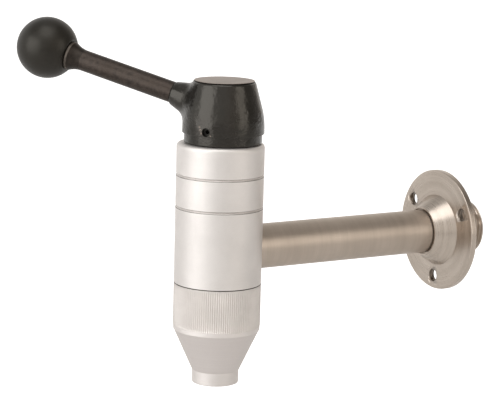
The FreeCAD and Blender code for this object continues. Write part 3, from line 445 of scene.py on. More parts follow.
class Surface(Nodes):
    """A Principled material, driven by object coordinates in metres."""

    def __init__(self, name, metallic, ior=1.5, tint=(1, 1, 1, 1)):
        self.material = bpy.data.materials.new(name)
        self.material.use_nodes = True
        super().__init__(self.material.node_tree)
        self.shader = self.tree.nodes["Principled BSDF"]
        self.shader.inputs["Metallic"].default_value = metallic
        self.shader.inputs["IOR"].default_value = ior
        self.shader.inputs["Specular Tint"].default_value = tint
        self.place = self.node("ShaderNodeTexCoord").outputs["Object"]

    def turned_place(self, axis, centre, angle_share):
        """Coordinates (radius, distance along the axis, share of angle) about an axis of the
        object, so that a noise over them draws turning marks."""
        split = self.node("ShaderNodeSeparateXYZ")
        self.feed(split.inputs[0], self.place)
        x, y, z = split.outputs
        second, along = (y, z) if axis == "Z" else (z, y)
        across = self.math("SUBTRACT", x, centre[0])
        up = self.math("SUBTRACT", second, centre[1])
        square = self.math("ADD", self.math("MULTIPLY", across, across),
                           self.math("MULTIPLY", up, up))
        whole = self.node("ShaderNodeCombineXYZ")
        self.feed(whole.inputs[0], self.math("SQRT", square))
        self.feed(whole.inputs[1], along)
        self.feed(whole.inputs[2], self.math("MULTIPLY", self.math("ARCTAN2", up, across),
                                             angle_share))
        return whole.outputs[0]

    def noise(self, scale, detail=2.0, rough=0.5, at=None, distortion=0.0):
        made = self.node("ShaderNodeTexNoise")
        made.inputs["Scale"].default_value = scale
        made.inputs["Detail"].default_value = detail
        made.inputs["Roughness"].default_value = rough
        made.inputs["Distortion"].default_value = distortion
        self.feed(made.inputs["Vector"], at or self.place)
        return made.outputs["Fac"]

    def band(self, direction, middle, half_width):
        """1 in a slab across the direction at a distance from the origin, 0 outside it."""
        along = self.measure("DOT_PRODUCT", self.place, direction)
        away = self.math("ABSOLUTE", self.math("SUBTRACT", along, middle))
        return self.stretch(away, half_width - min(0.4 * half_width, 0.1 * MM), half_width, 1, 0)

    def spot(self, centre, radius):
        """1 at a point, falling to 0 at the radius."""
        return self.stretch(self.measure("DISTANCE", self.place, centre),
                            radius * 0.5, radius, 1, 0)

    def along_y(self, centre, radius):
        """1 inside a cylinder that lies along Y through a point, 0 outside it."""
        flat = self.node("ShaderNodeVectorMath", operation="MULTIPLY")
        self.feed(flat.inputs[0], self.place)
        flat.inputs[1].default_value = (1, 0, 1)
        return self.math("LESS_THAN", self.measure("DISTANCE", flat.outputs[0], centre), radius)

    def bump(self, height, depth, strength, after=None):
        made = self.node("ShaderNodeBump")
        made.inputs["Strength"].default_value = strength
        made.inputs["Distance"].default_value = depth
        self.feed(made.inputs["Height"], height)
        if after:
            self.feed(made.inputs["Normal"], after)
        return made.outputs[0]

    def finish(self, colour, roughness, normal=None):
        self.feed(self.shader.inputs["Base Color"], colour)
        self.feed(self.shader.inputs["Roughness"], roughness)
        if normal:
            self.feed(self.shader.inputs["Normal"], normal)
        return self.material


def satin_aluminium(name, light, dark, roughness, marks, bands):
    """Blasted and anodised aluminium: a fine grain over faint turning marks, with bands
    round it, each given by its height, half width, colour and strength. The dark bands at the joint,
    the grooves and the cap's side are painted shade."""
    surface = Surface(name, metallic=1.0)
    cloud = surface.noise(70, 3)
    grain = surface.noise(2600, 2)
    rings = surface.noise(1500, 3, rough=0.6, at=surface.turned_place("Z", TAP_CENTRE, 0.0002))
    colour = surface.blend(surface.stretch(cloud, 0.35, 0.65, 0, 1), light, dark)
    for height, half_width, tone, share in bands:
        there = surface.band((0, 0, 1), height * MM, half_width * MM)
        colour = surface.blend(surface.math("MULTIPLY", there, share), colour, tone)
    rough = surface.math(
        "ADD",
        surface.stretch(grain, 0.3, 0.7, roughness - 0.05, roughness + 0.05),
        surface.stretch(rings, 0.3, 0.7, -marks, marks),
    )
    normal = surface.bump(grain, 0.00002, 0.25, after=surface.bump(rings, 0.00002, marks * 3))
    return surface.finish(colour, rough, normal)


def turned_steel(name, light, dark, roughness, axis, centre, marks=0.35, wear=0.25, holes=()):
    """Stainless steel with turning marks round an axis, a slight stain and painted shade inside the
    holes.
    """
    surface = Surface(name, metallic=1.0)
    rings = surface.noise(2400, 4, rough=0.65, at=surface.turned_place(axis, centre, 0.0004))
    wide = surface.noise(330, 3, rough=0.5, at=surface.turned_place(axis, centre, 0.001))
    cloud = surface.noise(55, 3)
    tone = surface.math("MULTIPLY", surface.stretch(wide, 0.3, 0.7, 0.85 - wear, 0.85 + wear),
                        surface.stretch(rings, 0.3, 0.7, 0.9 - wear, 1.0))
    stained = surface.math("MULTIPLY", tone, surface.stretch(cloud, 0.3, 0.7, 0.8, 1.05))
    colour = surface.blend(stained, dark, light)
    # Painted shade: the walls of the screw holes are coloured dark brown.
    for middle in holes:
        inside = surface.along_y(middle, (SCREW_HOLE + 0.03) * MM)
        colour = surface.blend(surface.math("MULTIPLY", inside, 0.7), colour, linear(78, 66, 54))
    rough = surface.stretch(rings, 0.3, 0.7, roughness - 0.07, roughness + 0.08)
    return surface.finish(colour, rough, surface.bump(rings, 0.00002, marks))


def black_coat(name, base, worn, roughness, scuffs):
    """Satin black paint over a casting: orange peel, rubbed patches, brownish tints and a
    few scuffs, each given by its place and radius."""
    surface = Surface(name, metallic=0.0, ior=1.56, tint=WARM_SHEEN)
    peel = surface.noise(900, 3)
    dents = surface.noise(260, 2)
    cloud = surface.noise(90, 4, rough=0.6)
    tint = surface.noise(35, 2)
    chips = surface.noise(1500, 3, rough=0.7)
    colour = surface.blend(surface.stretch(cloud, 0.4, 0.75, 0, 0.5), base, worn)
    colour = surface.blend(surface.stretch(tint, 0.45, 0.7, 0, 0.4), colour, linear(38, 29, 33))
    for centre, radius in scuffs:
        chip = surface.math("MULTIPLY", surface.spot(centre, radius),
                            surface.stretch(chips, 0.5, 0.56, 0, 1))
        colour = surface.blend(chip, colour, linear(120, 106, 97))
    rough = surface.stretch(cloud, 0.3, 0.7, roughness - 0.06, roughness + 0.08)
    normal = surface.bump(peel, 0.00013, 0.8, after=surface.bump(dents, 0.0004, 0.7))
    return surface.finish(colour, rough, normal)


def dark_steel(name, base, worn, roughness, bands):
    """Blackened bar, burnished by hands: long streaks, brown patches and bands across the
    arm, each given by its reach, half width, colour and strength. The dark band at the boss is
    painted shade."""
    surface = Surface(name, metallic=0.85)
    foot = LEVER_FOOT.dot(Vector(LEVER_WAY))
    streak = surface.noise(420, 4, rough=0.6)
    cloud = surface.noise(60, 3)
    colour = surface.blend(surface.stretch(streak, 0.35, 0.7, 0, 0.8), base, worn)
    colour = surface.blend(surface.stretch(cloud, 0.45, 0.7, 0, 0.5), colour, linear(58, 49, 42))
    for reach, half_width, tone, share in bands:
        there = surface.band(LEVER_WAY, foot + reach * MM, half_width * MM)
        colour = surface.blend(surface.math("MULTIPLY", there, share), colour, tone)
    rough = surface.stretch(streak, 0.3, 0.7, roughness - 0.06, roughness + 0.1)
    return surface.finish(colour, rough, surface.bump(streak, 0.00003, 0.3))


def moulded(name, base, worn, roughness):
    """Moulded phenolic or plastic: faint flow marks and soft handling wear."""
    surface = Surface(name, metallic=0.0, ior=1.45, tint=WARM_SHEEN)
    cloud = surface.noise(75, 3, rough=0.55, distortion=0.8)
    fine = surface.noise(1400, 2)
    colour = surface.blend(surface.stretch(cloud, 0.4, 0.75, 0, 0.6), base, worn)
    rough = surface.stretch(cloud, 0.3, 0.7, roughness - 0.05, roughness + 0.1)
    return surface.finish(colour, rough, surface.bump(fine, 0.00003, 0.2))


# Places of the marks on the materials

def hub_side_at(height):
    """Radius of the casting's side above its step, and the cosine of its slope. The side
    stands upright, bends inward and goes on straight. The height may be an array."""
    rise = height - HUB_STEP - HUB_BAND_HEIGHT
    bent = np.clip(rise, 0, HUB_TURN_HEIGHT)
    level = np.sqrt(HUB_TURN_RADIUS**2 - bent**2)
    straight = np.maximum(0, rise - HUB_TURN_HEIGHT) * bent / level
    return HUB_RADIUS - HUB_TURN_RADIUS + level - straight, level / HUB_TURN_RADIUS


def on_hub_side(turn, height):
    """A point on the hub's side, turned in degrees from the grub screw, height in mm."""
    radius = hub_side_at(height)[0] * MM
    angle = LEVER_YAW + math.radians(90 + turn)
    return (radius * math.cos(angle), AXIS_Y * MM + radius * math.sin(angle), height * MM)


SCUFFS = (
    (on_hub_side(-8.5, 58.9), 1.0 * MM),
    (on_hub_side(-10.5, 60.2), 0.9 * MM),
    (on_hub_side(-7.0, 57.4), 0.7 * MM),
    (on_hub_side(6.5, 56.6), 0.7 * MM),
)
SCREW_PLACES = [Matrix.Rotation(math.radians(turn + SCREW_HOLE_TURN), 4, "Y")
                @ Matrix.Translation((0, 0, -SCREW_CIRCLE * MM)) for turn in (0, 120, 240)]
SCREW_HOLES = [place.translation for place in SCREW_PLACES]
# Painted shade: a dark line in the joint above the nozzle, and fine dark lines along both edges of
# each housing groove.
SHADE_LINE_TONE = linear(58, 54, 42)
JOINT_SHADE = (NOZZLE_TOP, 0.26, SHADE_LINE_TONE, 0.95)
GROOVE_EDGE_SHADE = tuple((middle + side * 0.52, 0.14, SHADE_LINE_TONE, share)
                    for middle in (BODY_TOP, GUIDE_TOP) for side, share in ((-1, 0.75), (1, 0.6)))
LAND_TONE = (KNURL_END - LAND_LENGTH / 2, LAND_LENGTH / 2, linear(229, 224, 221), 0.8)
CONE_TONE = (CONE_TOP - CONE_LENGTH / 2, CONE_LENGTH / 2, linear(217, 211, 208), 0.9)
SPOUT_TONE = (SPOUT_END, CONE_END - SPOUT_END, linear(224, 219, 216), 0.9)
# Painted shade on the lower side of the cap, just above the hub.
CAP_SIDE_SHADE = (HUB_TOP, 0.5, linear(40, 36, 33), 1.0)
# Painted shade: a near-black ring where the arm enters the boss.
ARM_ROOT_SHADE = (BOSS_END, 0.35, linear(12, 11, 10), 0.9)
# A darker band over the arm's flare.
ARM_FLARE_DARK_BAND = (COLLAR_START - 3.2, 3.0, linear(34, 31, 27), 0.55)
ARM_COLLAR_WEAR = (COLLAR_START + 0.6, 0.75, linear(94, 87, 80), 0.7)

looks = {
    "satin_aluminium": satin_aluminium(
        "satin_aluminium", linear(229, 225, 222), linear(222, 218, 215),
        roughness=0.56, marks=0.02, bands=(JOINT_SHADE,) + GROOVE_EDGE_SHADE),
    "nozzle_aluminium": satin_aluminium(
        "nozzle_aluminium", linear(224, 219, 215), linear(214, 209, 205),
        roughness=0.57, marks=0.04, bands=(JOINT_SHADE, LAND_TONE, CONE_TONE, SPOUT_TONE)),
    "turned_stainless": turned_steel(
        "turned_stainless", linear(206, 195, 184), linear(150, 138, 126),
        0.3, "Y", TUBE_CENTRE, marks=0.35, wear=0.2, holes=SCREW_HOLES),
    "brushed_tube": turned_steel(
        "brushed_tube", linear(196, 184, 172), linear(150, 137, 124),
        0.42, "Y", TUBE_CENTRE, marks=0.2, wear=0.12),
    "black_casting": black_coat(
        "black_casting", linear(12, 11, 8), linear(27, 24, 21), 0.23, SCUFFS),
    "hub_cap_grey": satin_aluminium(
        "hub_cap_grey", linear(166, 155, 147), linear(152, 142, 134),
        roughness=0.5, marks=0.03, bands=(CAP_SIDE_SHADE,)),
    "dark_steel": dark_steel(
        "dark_steel", linear(56, 50, 46), linear(80, 71, 65),
        0.4, (ARM_ROOT_SHADE, ARM_FLARE_DARK_BAND, ARM_COLLAR_WEAR)),
    "knob_black": moulded("knob_black", linear(18, 16, 12), linear(33, 29, 24), 0.38),
    "black_screw": moulded("black_screw", linear(26, 25, 25), linear(40, 38, 38), 0.4),
    "inner_steel": turned_steel(
        "inner_steel", linear(205, 203, 200), linear(180, 178, 175), 0.3, "Z", TAP_CENTRE),
    "spring_wire": turned_steel(
        "spring_wire", linear(200, 200, 200), linear(170, 170, 170), 0.3, "Z", TAP_CENTRE),
    "bronze": turned_steel(
        "bronze", linear(196, 160, 98), linear(170, 132, 76), 0.32, "Z", TAP_CENTRE),
    "acetal": moulded("acetal", linear(232, 230, 224), linear(224, 221, 214), 0.45),
    "seal_rubber": moulded("seal_rubber", linear(30, 30, 30), linear(42, 41, 40), 0.6),
}
for entry in frame["record"]["subparts"]:
    plate = nodes[entry["node"]]
    plate.data.materials.clear()
    plate.data.materials.append(looks[entry["material_slot"]])


def dress(piece, node, body, slot):
    """Puts a finished piece in the place of its CAD node."""
    piece.data.materials.clear()
    piece.data.materials.append(looks[slot])
    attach(piece, body)
    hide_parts(node)


# Housing rings

def make_valve_body():
    joint = NOZZLE_TOP + NOZZLE_GAP
    groove = joint - NOZZLE_GROOVE_DROP
    groove_end = groove - NOZZLE_GROOVE_WIDTH
    groove_radius = SPIGOT_RADIUS - NOZZLE_GROOVE_DEPTH
    profile = rounded([
        corner(SEAT_BORE, SEAT_LIP),
        corner(SEAT_BORE, SPIGOT_END + OUTLET_FLARE_LENGTH),
        corner(OUTLET_FLARE_RADIUS, SPIGOT_END, 0.2),
        corner(SPIGOT_RADIUS - SPIGOT_BEVEL, SPIGOT_END, 0.2),
        corner(SPIGOT_RADIUS, SPIGOT_END + SPIGOT_BEVEL, 0.2),
        corner(SPIGOT_RADIUS, groove_end, 0.1),
        corner(groove_radius, groove_end, 0.1),
        corner(groove_radius, groove, 0.1),
        corner(SPIGOT_RADIUS, groove, 0.1),
        corner(SPIGOT_RADIUS, joint),
        corner(HOUSING_RADIUS - JOINT_CHAMFER, joint, 0.05),
        corner(HOUSING_RADIUS, joint + JOINT_CHAMFER, 0.1),
        corner(HOUSING_RADIUS, BODY_TOP - GROOVE_CHAMFER, 0.12),
        corner(HOUSING_RADIUS - GROOVE_CHAMFER, BODY_TOP, 0.05),
        corner(GLAND_BORE, BODY_TOP),
        corner(GLAND_BORE, GLAND_FLOOR),
        corner(CHAMBER_RADIUS, GLAND_FLOOR),
        corner(CHAMBER_RADIUS, CHAMBER_FLOOR),
        corner(SEAT_FOOT_RADIUS, CHAMBER_FLOOR),
        corner(SEAT_LIP_RADIUS, SEAT_LIP),
    ])
    profile = filled(profile, SPIGOT_END + SPIGOT_BEVEL, groove_end, 0.25)
    screw = thread(SPIGOT_RADIUS, SPIGOT_THREAD_DEPTH, SPIGOT_PITCH,
                   SPIGOT_END + 0.6, groove_end - 0.4, fade=1.2)

    def outer_only(angle, height, radius):
        return screw(angle, height, radius) if radius > SPIGOT_RADIUS - 0.1 else radius

    piece = lathe("valve_body_turned", profile, ON_TAP, 224, closed=True, shape=outer_only)
    cut(piece, "port", TUBE_RADIUS + THREAD_FIT, AXIS_Y + PORT_START, AXIS_Y + 30, ON_TUBE, 96)
    dress(piece, "valve_body", "tap_body", "satin_aluminium")


def make_guide_housing():
    profile = rounded([
        corner(ROD_BORE, GLAND_FLOOR),
        corner(GLAND_BORE - THREAD_FIT, GLAND_FLOOR, 0.3),
        corner(GLAND_BORE - THREAD_FIT, BODY_TOP),
        corner(HOUSING_RADIUS - GROOVE_CHAMFER, BODY_TOP, 0.05),
        corner(HOUSING_RADIUS, BODY_TOP + GROOVE_CHAMFER, 0.12),
        corner(HOUSING_RADIUS, GUIDE_TOP - GROOVE_CHAMFER, 0.12),
        corner(HOUSING_RADIUS - GROOVE_CHAMFER, GUIDE_TOP, 0.05),
        corner(GLAND_BORE, GUIDE_TOP),
        corner(GLAND_BORE, SLEEVE_BORE_TOP),
        corner(SLEEVE_BORE, SLEEVE_BORE_TOP),
        corner(SLEEVE_BORE, GUIDE_FLOOR),
        corner(ROD_BORE, GUIDE_FLOOR),
    ])
    piece = lathe("guide_housing_turned", profile, ON_TAP, 224, closed=True)
    dress(piece, "guide_housing", "tap_body", "satin_aluminium")


def make_bonnet():
    profile = rounded([
        corner(BONNET_BORE, BONNET_TOP),
        corner(BONNET_BORE, SLEEVE_ROOM_TOP + 1),
        corner(SLEEVE_BORE, SLEEVE_ROOM_TOP),
        corner(SLEEVE_BORE, SLEEVE_BORE_TOP + END_GAP),
        corner(GLAND_BORE - THREAD_FIT, SLEEVE_BORE_TOP + END_GAP),
        corner(GLAND_BORE - THREAD_FIT, GUIDE_TOP),
        corner(HOUSING_RADIUS - GROOVE_CHAMFER, GUIDE_TOP, 0.05),
        corner(HOUSING_RADIUS, GUIDE_TOP + GROOVE_CHAMFER, 0.12),
        corner(HOUSING_RADIUS, BONNET_TOP, EDGE_ROUND),
        corner(BONNET_BORE, BONNET_TOP),
    ], steps=10)[:-1]
    piece = lathe("bonnet_turned", profile, ON_TAP, 224, closed=True)
    dress(piece, "bonnet", "tap_body", "satin_aluminium")


# Nozzle with its knurl

def knurled(angle, height, radius):
    """Radius of the nozzle with its knurl, whose ridges fade out at both ends."""
    knurl_top = NOZZLE_TOP - KNURL_START
    if radius < HOUSING_RADIUS - 0.3 or not KNURL_END < height < knurl_top:
        return radius
    tooth = 0.5 + 0.5 * math.cos(angle * KNURL_COUNT)
    fade = min(1, (height - KNURL_END) / KNURL_RUNOUT, (knurl_top - height) / KNURL_RUNOUT)
    return radius - KNURL_DEPTH * tooth**KNURL_SHARPNESS * fade


def make_nozzle():
    shelf = SPIGOT_END - SHELF_DEPTH
    land_radius = HOUSING_RADIUS - LAND_DROP
    profile = rounded([
        corner(NOZZLE_BORE, NOZZLE_TOP),
        corner(NOZZLE_BORE, shelf),
        corner(SHELF_RADIUS, shelf, 0.2),
        corner(SHELF_RADIUS, CONE_TOP, 2.0),
        corner(SPOUT_BORE, CONE_END, 2.0),
        corner(SPOUT_BORE, SPOUT_END, 0.2),
        corner(SPOUT_RADIUS, SPOUT_END, 0.5),
        corner(SPOUT_RADIUS, CONE_END, 0.15),
        corner(CONE_END_RADIUS, CONE_END, 0.12),
        corner(land_radius - LAND_BEVEL, CONE_TOP, 0.1),
        corner(land_radius, CONE_TOP + LAND_BEVEL, 0.1),
        corner(land_radius, KNURL_END, 0.04),
        corner(HOUSING_RADIUS, KNURL_END + LAND_DROP, 0.04),
        corner(HOUSING_RADIUS, NOZZLE_TOP - JOINT_CHAMFER, 0.1),
        corner(HOUSING_RADIUS - JOINT_CHAMFER, NOZZLE_TOP, 0.05),
    ], steps=4)
    profile = filled(profile, KNURL_END - 0.1, NOZZLE_TOP, 1.0)
    piece = lathe("nozzle_knurled", profile, ON_TAP, KNURL_COUNT * 8, closed=True, shape=knurled)
    piece.data.set_sharp_from_angle(angle=math.radians(60))
    dress(piece, "nozzle", "nozzle", "nozzle_aluminium")


# Flange with its threaded stub, and the feed tube

def make_flange():
    gap_floor = LIP_Y + COLLAR_GAP_DEPTH
    socket_radius = TUBE_RADIUS + 0.04
    relief = STUB_RELIEF_WIDTH
    profile = rounded([
        corner(TUBE_BORE, STUB_Y, 0.3),
        corner(TUBE_BORE, TUBE_OUTER),
        corner(socket_radius, TUBE_OUTER),
        corner(socket_radius, gap_floor),
        corner(COLLAR_GAP_RADIUS, gap_floor),
        corner(COLLAR_GAP_RADIUS, LIP_Y, 0.12),
        corner(COLLAR_LIP_RADIUS, LIP_Y, 0.15),
        corner(COLLAR_BASE_RADIUS, -FLANGE_THICKNESS, 0.15),
        corner(FLANGE_RADIUS, -FLANGE_THICKNESS, 0.5),
        corner(FLANGE_RADIUS, 0, 0.2),
        corner(STUB_RELIEF_RADIUS, 0, 0.1),
        corner(STUB_RELIEF_RADIUS, relief, 0.2),
        corner(STUB_RADIUS, relief + 1.3, 0.1),
        corner(STUB_RADIUS, STUB_Y - STUB_BEVEL, 0.1),
        corner(STUB_RADIUS - STUB_BEVEL, STUB_Y, 0.1),
        corner(TUBE_BORE, STUB_Y, 0.3),
    ])[:-1]
    profile = filled(profile, relief + 0.6, STUB_Y - 0.3, 0.22)
    screw = thread(STUB_RADIUS, STUB_THREAD_DEPTH, STUB_PITCH,
                   relief + 0.7, STUB_Y - 0.2, fade=1.3)
    piece = lathe("flange_turned", profile, ON_TUBE, 256, closed=True, shape=screw)
    for place in SCREW_PLACES:
        cut(piece, "screw_hole", SCREW_HOLE, -6, 3, place @ ON_TUBE, 48)
    dress(piece, "mounting_flange", "tap_body", "turned_stainless")


def make_tube():
    profile = rounded([
        corner(TUBE_BORE, TUBE_INNER),
        corner(TUBE_RADIUS, TUBE_INNER, 0.2),
        corner(TUBE_RADIUS, TUBE_OUTER, 0.2),
        corner(TUBE_BORE, TUBE_OUTER),
    ])
    piece = lathe("tube_ground", profile, ON_TUBE, 160, closed=True)
    dress(piece, "inlet_tube", "tap_body", "brushed_tube")


# Lever: hub, cap, arm and knob

VOXEL = 0.32
DRAW_ROUNDS = 6
PROBE = 0.01
LEAST_SLOPE = 0.2
LONGEST_MOVE = 0.6


def make_hub():
    side = [Vector((hub_side_at(height)[0], height))
            for height in np.linspace(HUB_STEP + 1.5, HUB_TOP - HUB_EDGE_DROP - 0.3, 40)]
    low = rounded([
        corner(0, HUB_BASE + 0.5),
        corner(17.6, HUB_BASE + 0.5),
        corner(17.6, HUB_STEP + HUB_SKIN),
        corner(HUB_RADIUS, HUB_STEP + HUB_SKIN, 0.3),
        corner(HUB_RADIUS, HUB_STEP + 1.2),
    ])
    high = rounded([
        corner(hub_side_at(HUB_TOP - 0.8)[0], HUB_TOP - 0.8),
        corner(hub_side_at(HUB_TOP - 0.1)[0], HUB_TOP - 0.1, 0.5),
        corner(HUB_TOP_RADIUS - 0.4, HUB_TOP, 0.3),
        corner(0, HUB_TOP),
    ])
    hub = lathe("hub_cast", low + side + high, ON_CASTING, 224)
    boss = rounded([
        corner(0, BOSS_START),
        corner(BOSS_ROOT_RADIUS, BOSS_START),
        corner(BOSS_END_RADIUS, BOSS_END, 0.35),
        corner(0, BOSS_END),
    ], steps=8)
    combine(hub, lathe("boss_cast", boss, ON_LEVER, 96), "UNION")
    skin = hub.modifiers.new("skin", "REMESH")
    skin.mode = "VOXEL"
    skin.voxel_size = VOXEL * MM
    apply_modifiers(hub)
    smooth_casting(hub.data)
    skirt = rounded([
        corner(0, HUB_BASE + 0.5),
        corner(13.4, HUB_BASE + 0.5),
        corner(13.4, HUB_BASE),
        corner(HUB_SKIRT_RADIUS, HUB_BASE, 0.5),
        corner(HUB_SKIRT_RADIUS, HUB_STEP, 0.12),
        corner(HUB_RADIUS + 0.02, HUB_STEP, 0.3),
        corner(HUB_RADIUS + 0.02, HUB_STEP + 1.7, 0.1),
        corner(17, HUB_STEP + 1.7),
        corner(0, HUB_STEP + 1.7),
    ])
    combine(hub, lathe("hub_skirt", skirt, ON_CASTING, 224), "UNION")
    rise = Matrix.Translation((0, 0, (HUB_BASE + GRUB_RISE) * MM))
    grub_place = ON_HUB @ rise @ Matrix.Rotation(math.radians(-90), 4, "X")
    cut(hub, "grub_hole", GRUB_RADIUS, 5.2, 24, grub_place, 40)
    cut(hub, "arm_hole", ARM_THREAD_RADIUS + THREAD_FIT, ARM_START - 0.4, 40, ON_LEVER, 48)
    cut(hub, "well", HUB_WELL_RADIUS, HUB_TOP - 3.4, HUB_TOP + 2, ON_CASTING, 96)
    hub.data.shade_smooth()
    hub.data.set_sharp_from_angle(angle=math.radians(42))
    dress(hub, "lever_hub", "lever", "black_casting")


def blended(first, second, width):
    """Smooth minimum of two distances."""
    share = np.maximum(width - np.abs(first - second), 0) / width
    return np.minimum(first, second) - share**2 * width / 4


def casting_distance(spots):
    """Distance in millimetres from the skin of hub and boss, filled where they meet. The
    boss hangs a little, and the fillet is widest below it."""
    about = spots @ TO_CASTING[:3, :3].T + TO_CASTING[:3, 3]
    along = spots @ TO_LEVER[:3, :3].T + TO_LEVER[:3, 3]
    height = about[:, 2]
    radius, cosine = hub_side_at(height)
    side = (np.hypot(about[:, 0], about[:, 1]) - radius) * cosine
    hub = -blended(-side, HUB_TOP - height, HUB_EDGE_BLEND)
    hub = np.maximum(hub, HUB_STEP + HUB_SKIN - height)
    taper = (BOSS_ROOT_RADIUS - BOSS_END_RADIUS) / (BOSS_END - BOSS_START)
    before_end = BOSS_END - along[:, 2]
    out = np.hypot(along[:, 0], along[:, 1])
    under = np.clip(along[:, 0] / np.maximum(out, 1), 0, 1)
    droop = under * (BOSS_DROOP + BOSS_DROOP_TAPER * before_end)
    cone = (out - BOSS_END_RADIUS - taper * before_end - droop) * math.cos(math.atan(taper))
    boss = -blended(-cone, before_end, BOSS_EDGE_BLEND)
    boss = np.where(along[:, 2] < 0, np.inf, boss)
    low = np.clip((FILLET_ABOVE_HEIGHT - height) / (FILLET_ABOVE_HEIGHT - FILLET_BELOW_HEIGHT), 0, 1)
    return blended(hub, boss, FILLET_ABOVE + (FILLET_BELOW - FILLET_ABOVE) * low)


def smooth_casting(mesh):
    """Draws the remeshed skin onto the true surface, which also fills the boss's root."""
    spots = np.empty(len(mesh.vertices) * 3)
    mesh.vertices.foreach_get("co", spots)
    spots = spots.reshape(-1, 3) / MM
    for _ in range(DRAW_ROUNDS):
        here = casting_distance(spots)
        ahead = [casting_distance(spots + axis * PROBE) for axis in np.eye(3)]
        slope = np.stack([there - here for there in ahead], axis=1) / PROBE
        size = np.maximum(np.sum(slope**2, axis=1), LEAST_SLOPE)
        move = slope * (here / size)[:, None]
        length = np.maximum(np.linalg.norm(move, axis=1), 1e-9)
        spots -= move * np.minimum(1, LONGEST_MOVE / length)[:, None]
    mesh.vertices.foreach_set("co", (spots * MM).ravel())
    mesh.update()


def make_cap():
    base = HUB_TOP + 0.08
    profile = rounded([
        corner(0, CAP_TOP),
        corner(CAP_RADIUS, CAP_TOP, 0.15),
        corner(CAP_RADIUS, base, 0.05),
        corner(CAP_SKIRT_RADIUS, base),
        corner(CAP_SKIRT_RADIUS, base - CAP_SKIRT_LENGTH),
        corner(CAP_SKIRT_BORE, base - CAP_SKIRT_LENGTH),
        corner(CAP_SKIRT_BORE, base),
        corner(0, base),
    ])
    dress(lathe("cap_disc", profile, ON_CASTING, 192), "hub_cap", "lever", "hub_cap_grey")


def make_arm():
    steps = 14
    foot = COLLAR_START - ARM_FLARE_LENGTH
    spread = ARM_COLLAR_RADIUS - ARM_RADIUS - 0.15
    start = rounded([
        corner(0, ARM_START),
        corner(ARM_THREAD_RADIUS, ARM_START, 0.3),
        corner(ARM_THREAD_RADIUS, BOSS_END),
        corner(ARM_RADIUS, BOSS_END, 0.2),
        corner(ARM_RADIUS, BOSS_END + 2),
    ])
    bar = [Vector((ARM_RADIUS, height)) for height in np.arange(BOSS_END + 4, foot - 1, 4)]
    flare = [Vector((ARM_RADIUS + spread * (step / steps) ** ARM_FLARE_SWEEP,
                     foot + (ARM_FLARE_LENGTH - 0.2) * step / steps)) for step in range(steps + 1)]
    end = rounded([
        corner(ARM_COLLAR_RADIUS - 0.02, COLLAR_START),
        corner(ARM_COLLAR_RADIUS, COLLAR_START + 0.1),
        corner(ARM_COLLAR_RADIUS, COLLAR_END, 0.35),
        corner(ARM_THREAD_RADIUS, COLLAR_END),
        corner(ARM_THREAD_RADIUS, COLLAR_END + ARM_THREAD_LENGTH),
        corner(0, COLLAR_END + ARM_THREAD_LENGTH),
    ])
    piece = lathe("arm_bar", start + bar + flare + end, ON_LEVER, 96)
    dress(piece, "lever_arm", "lever", "dark_steel")


def make_knob():
    steps = 72
    rim = math.sqrt(KNOB_RADIUS**2 - KNOB_FLAT**2)
    first = math.atan2(-KNOB_FLAT, rim)
    socket = [
        Vector((0, COLLAR_END + INSERT_LENGTH)),
        Vector((SOCKET_RADIUS, COLLAR_END + INSERT_LENGTH)),
        Vector((SOCKET_RADIUS, COLLAR_END)),
        Vector((rim - 0.15, COLLAR_END)),
    ]
    ball = []
    for step in range(steps + 1):
        angle = first + (math.pi / 2 - first) * step / steps
        ball.append(Vector((KNOB_RADIUS * math.cos(angle),
                            KNOB_REACH + KNOB_RADIUS * math.sin(angle))))
    ball[-1].x = 0
    piece = lathe("knob_ball", socket + ball, ON_LEVER, 144)
    dress(piece, "ball_knob", "lever", "knob_black")


make_valve_body()
make_guide_housing()
make_bonnet()
make_nozzle()
make_flange()
make_tube()
make_hub()
make_cap()
make_arm()
make_knob()


# Camera at the photograph's view

CAMERA_PLACE = Vector((0.79668, -0.59076, 0.19096))
CAMERA_AZIMUTH = math.radians(59.01)
CAMERA_ELEVATION = math.radians(10.31)
CAMERA_ROLL = math.radians(1.59)
FOCAL_PIXELS = 1997.37
FRAME_WIDTH = 500
SENSOR = 36.0


def make_camera():
    across = Vector((math.cos(CAMERA_AZIMUTH), math.sin(CAMERA_AZIMUTH), 0))
    back = Vector((
        math.sin(CAMERA_AZIMUTH) * math.cos(CAMERA_ELEVATION),
        -math.cos(CAMERA_AZIMUTH) * math.cos(CAMERA_ELEVATION),
        math.sin(CAMERA_ELEVATION),
    ))
    up = back.cross(across)
    rolled = across * math.cos(CAMERA_ROLL) + up * math.sin(CAMERA_ROLL)
    upright = up * math.cos(CAMERA_ROLL) - across * math.sin(CAMERA_ROLL)
    turn = Matrix((rolled, upright, back)).transposed().to_4x4()
    data = bpy.data.cameras.new("camera")
    data.sensor_width = SENSOR
    data.lens = FOCAL_PIXELS / FRAME_WIDTH * SENSOR
    data.clip_end = 100
    camera = bpy.data.objects.new("camera", data)
    camera.matrix_world = Matrix.Translation(CAMERA_PLACE) @ turn
    bpy.context.scene.collection.objects.link(camera)
    bpy.context.scene.camera = camera


# Studio: pale floor, soft boxes and a plain room that is white behind the object

LAMP_TARGET = Vector((0, -0.08, 0.01))
FLOOR_HEIGHT = -0.16
FLOOR_REACH = 14
FLOOR_GLOW = 0.8
FLOOR_GLOW_FRONT = 0.0
FLOOR_GLOW_BEHIND = 0.55
ROOM_LEFT = 0.86
ROOM_RIGHT = 0.3
ROOM_BEHIND = 1.0
ROOM_OVERHEAD = 0.35
ROOM_LEAST = 0.24
ROOM_LEFT_COLOUR = (1, 0.98, 0.955, 1)
ROOM_RIGHT_COLOUR = (1, 0.92, 0.84, 1)
WHITE = (1, 1, 1, 1)
BEHIND = (-math.sin(CAMERA_AZIMUTH), math.cos(CAMERA_AZIMUTH), 0)
LEFT = (-math.cos(CAMERA_AZIMUTH), -math.sin(CAMERA_AZIMUTH), 0)


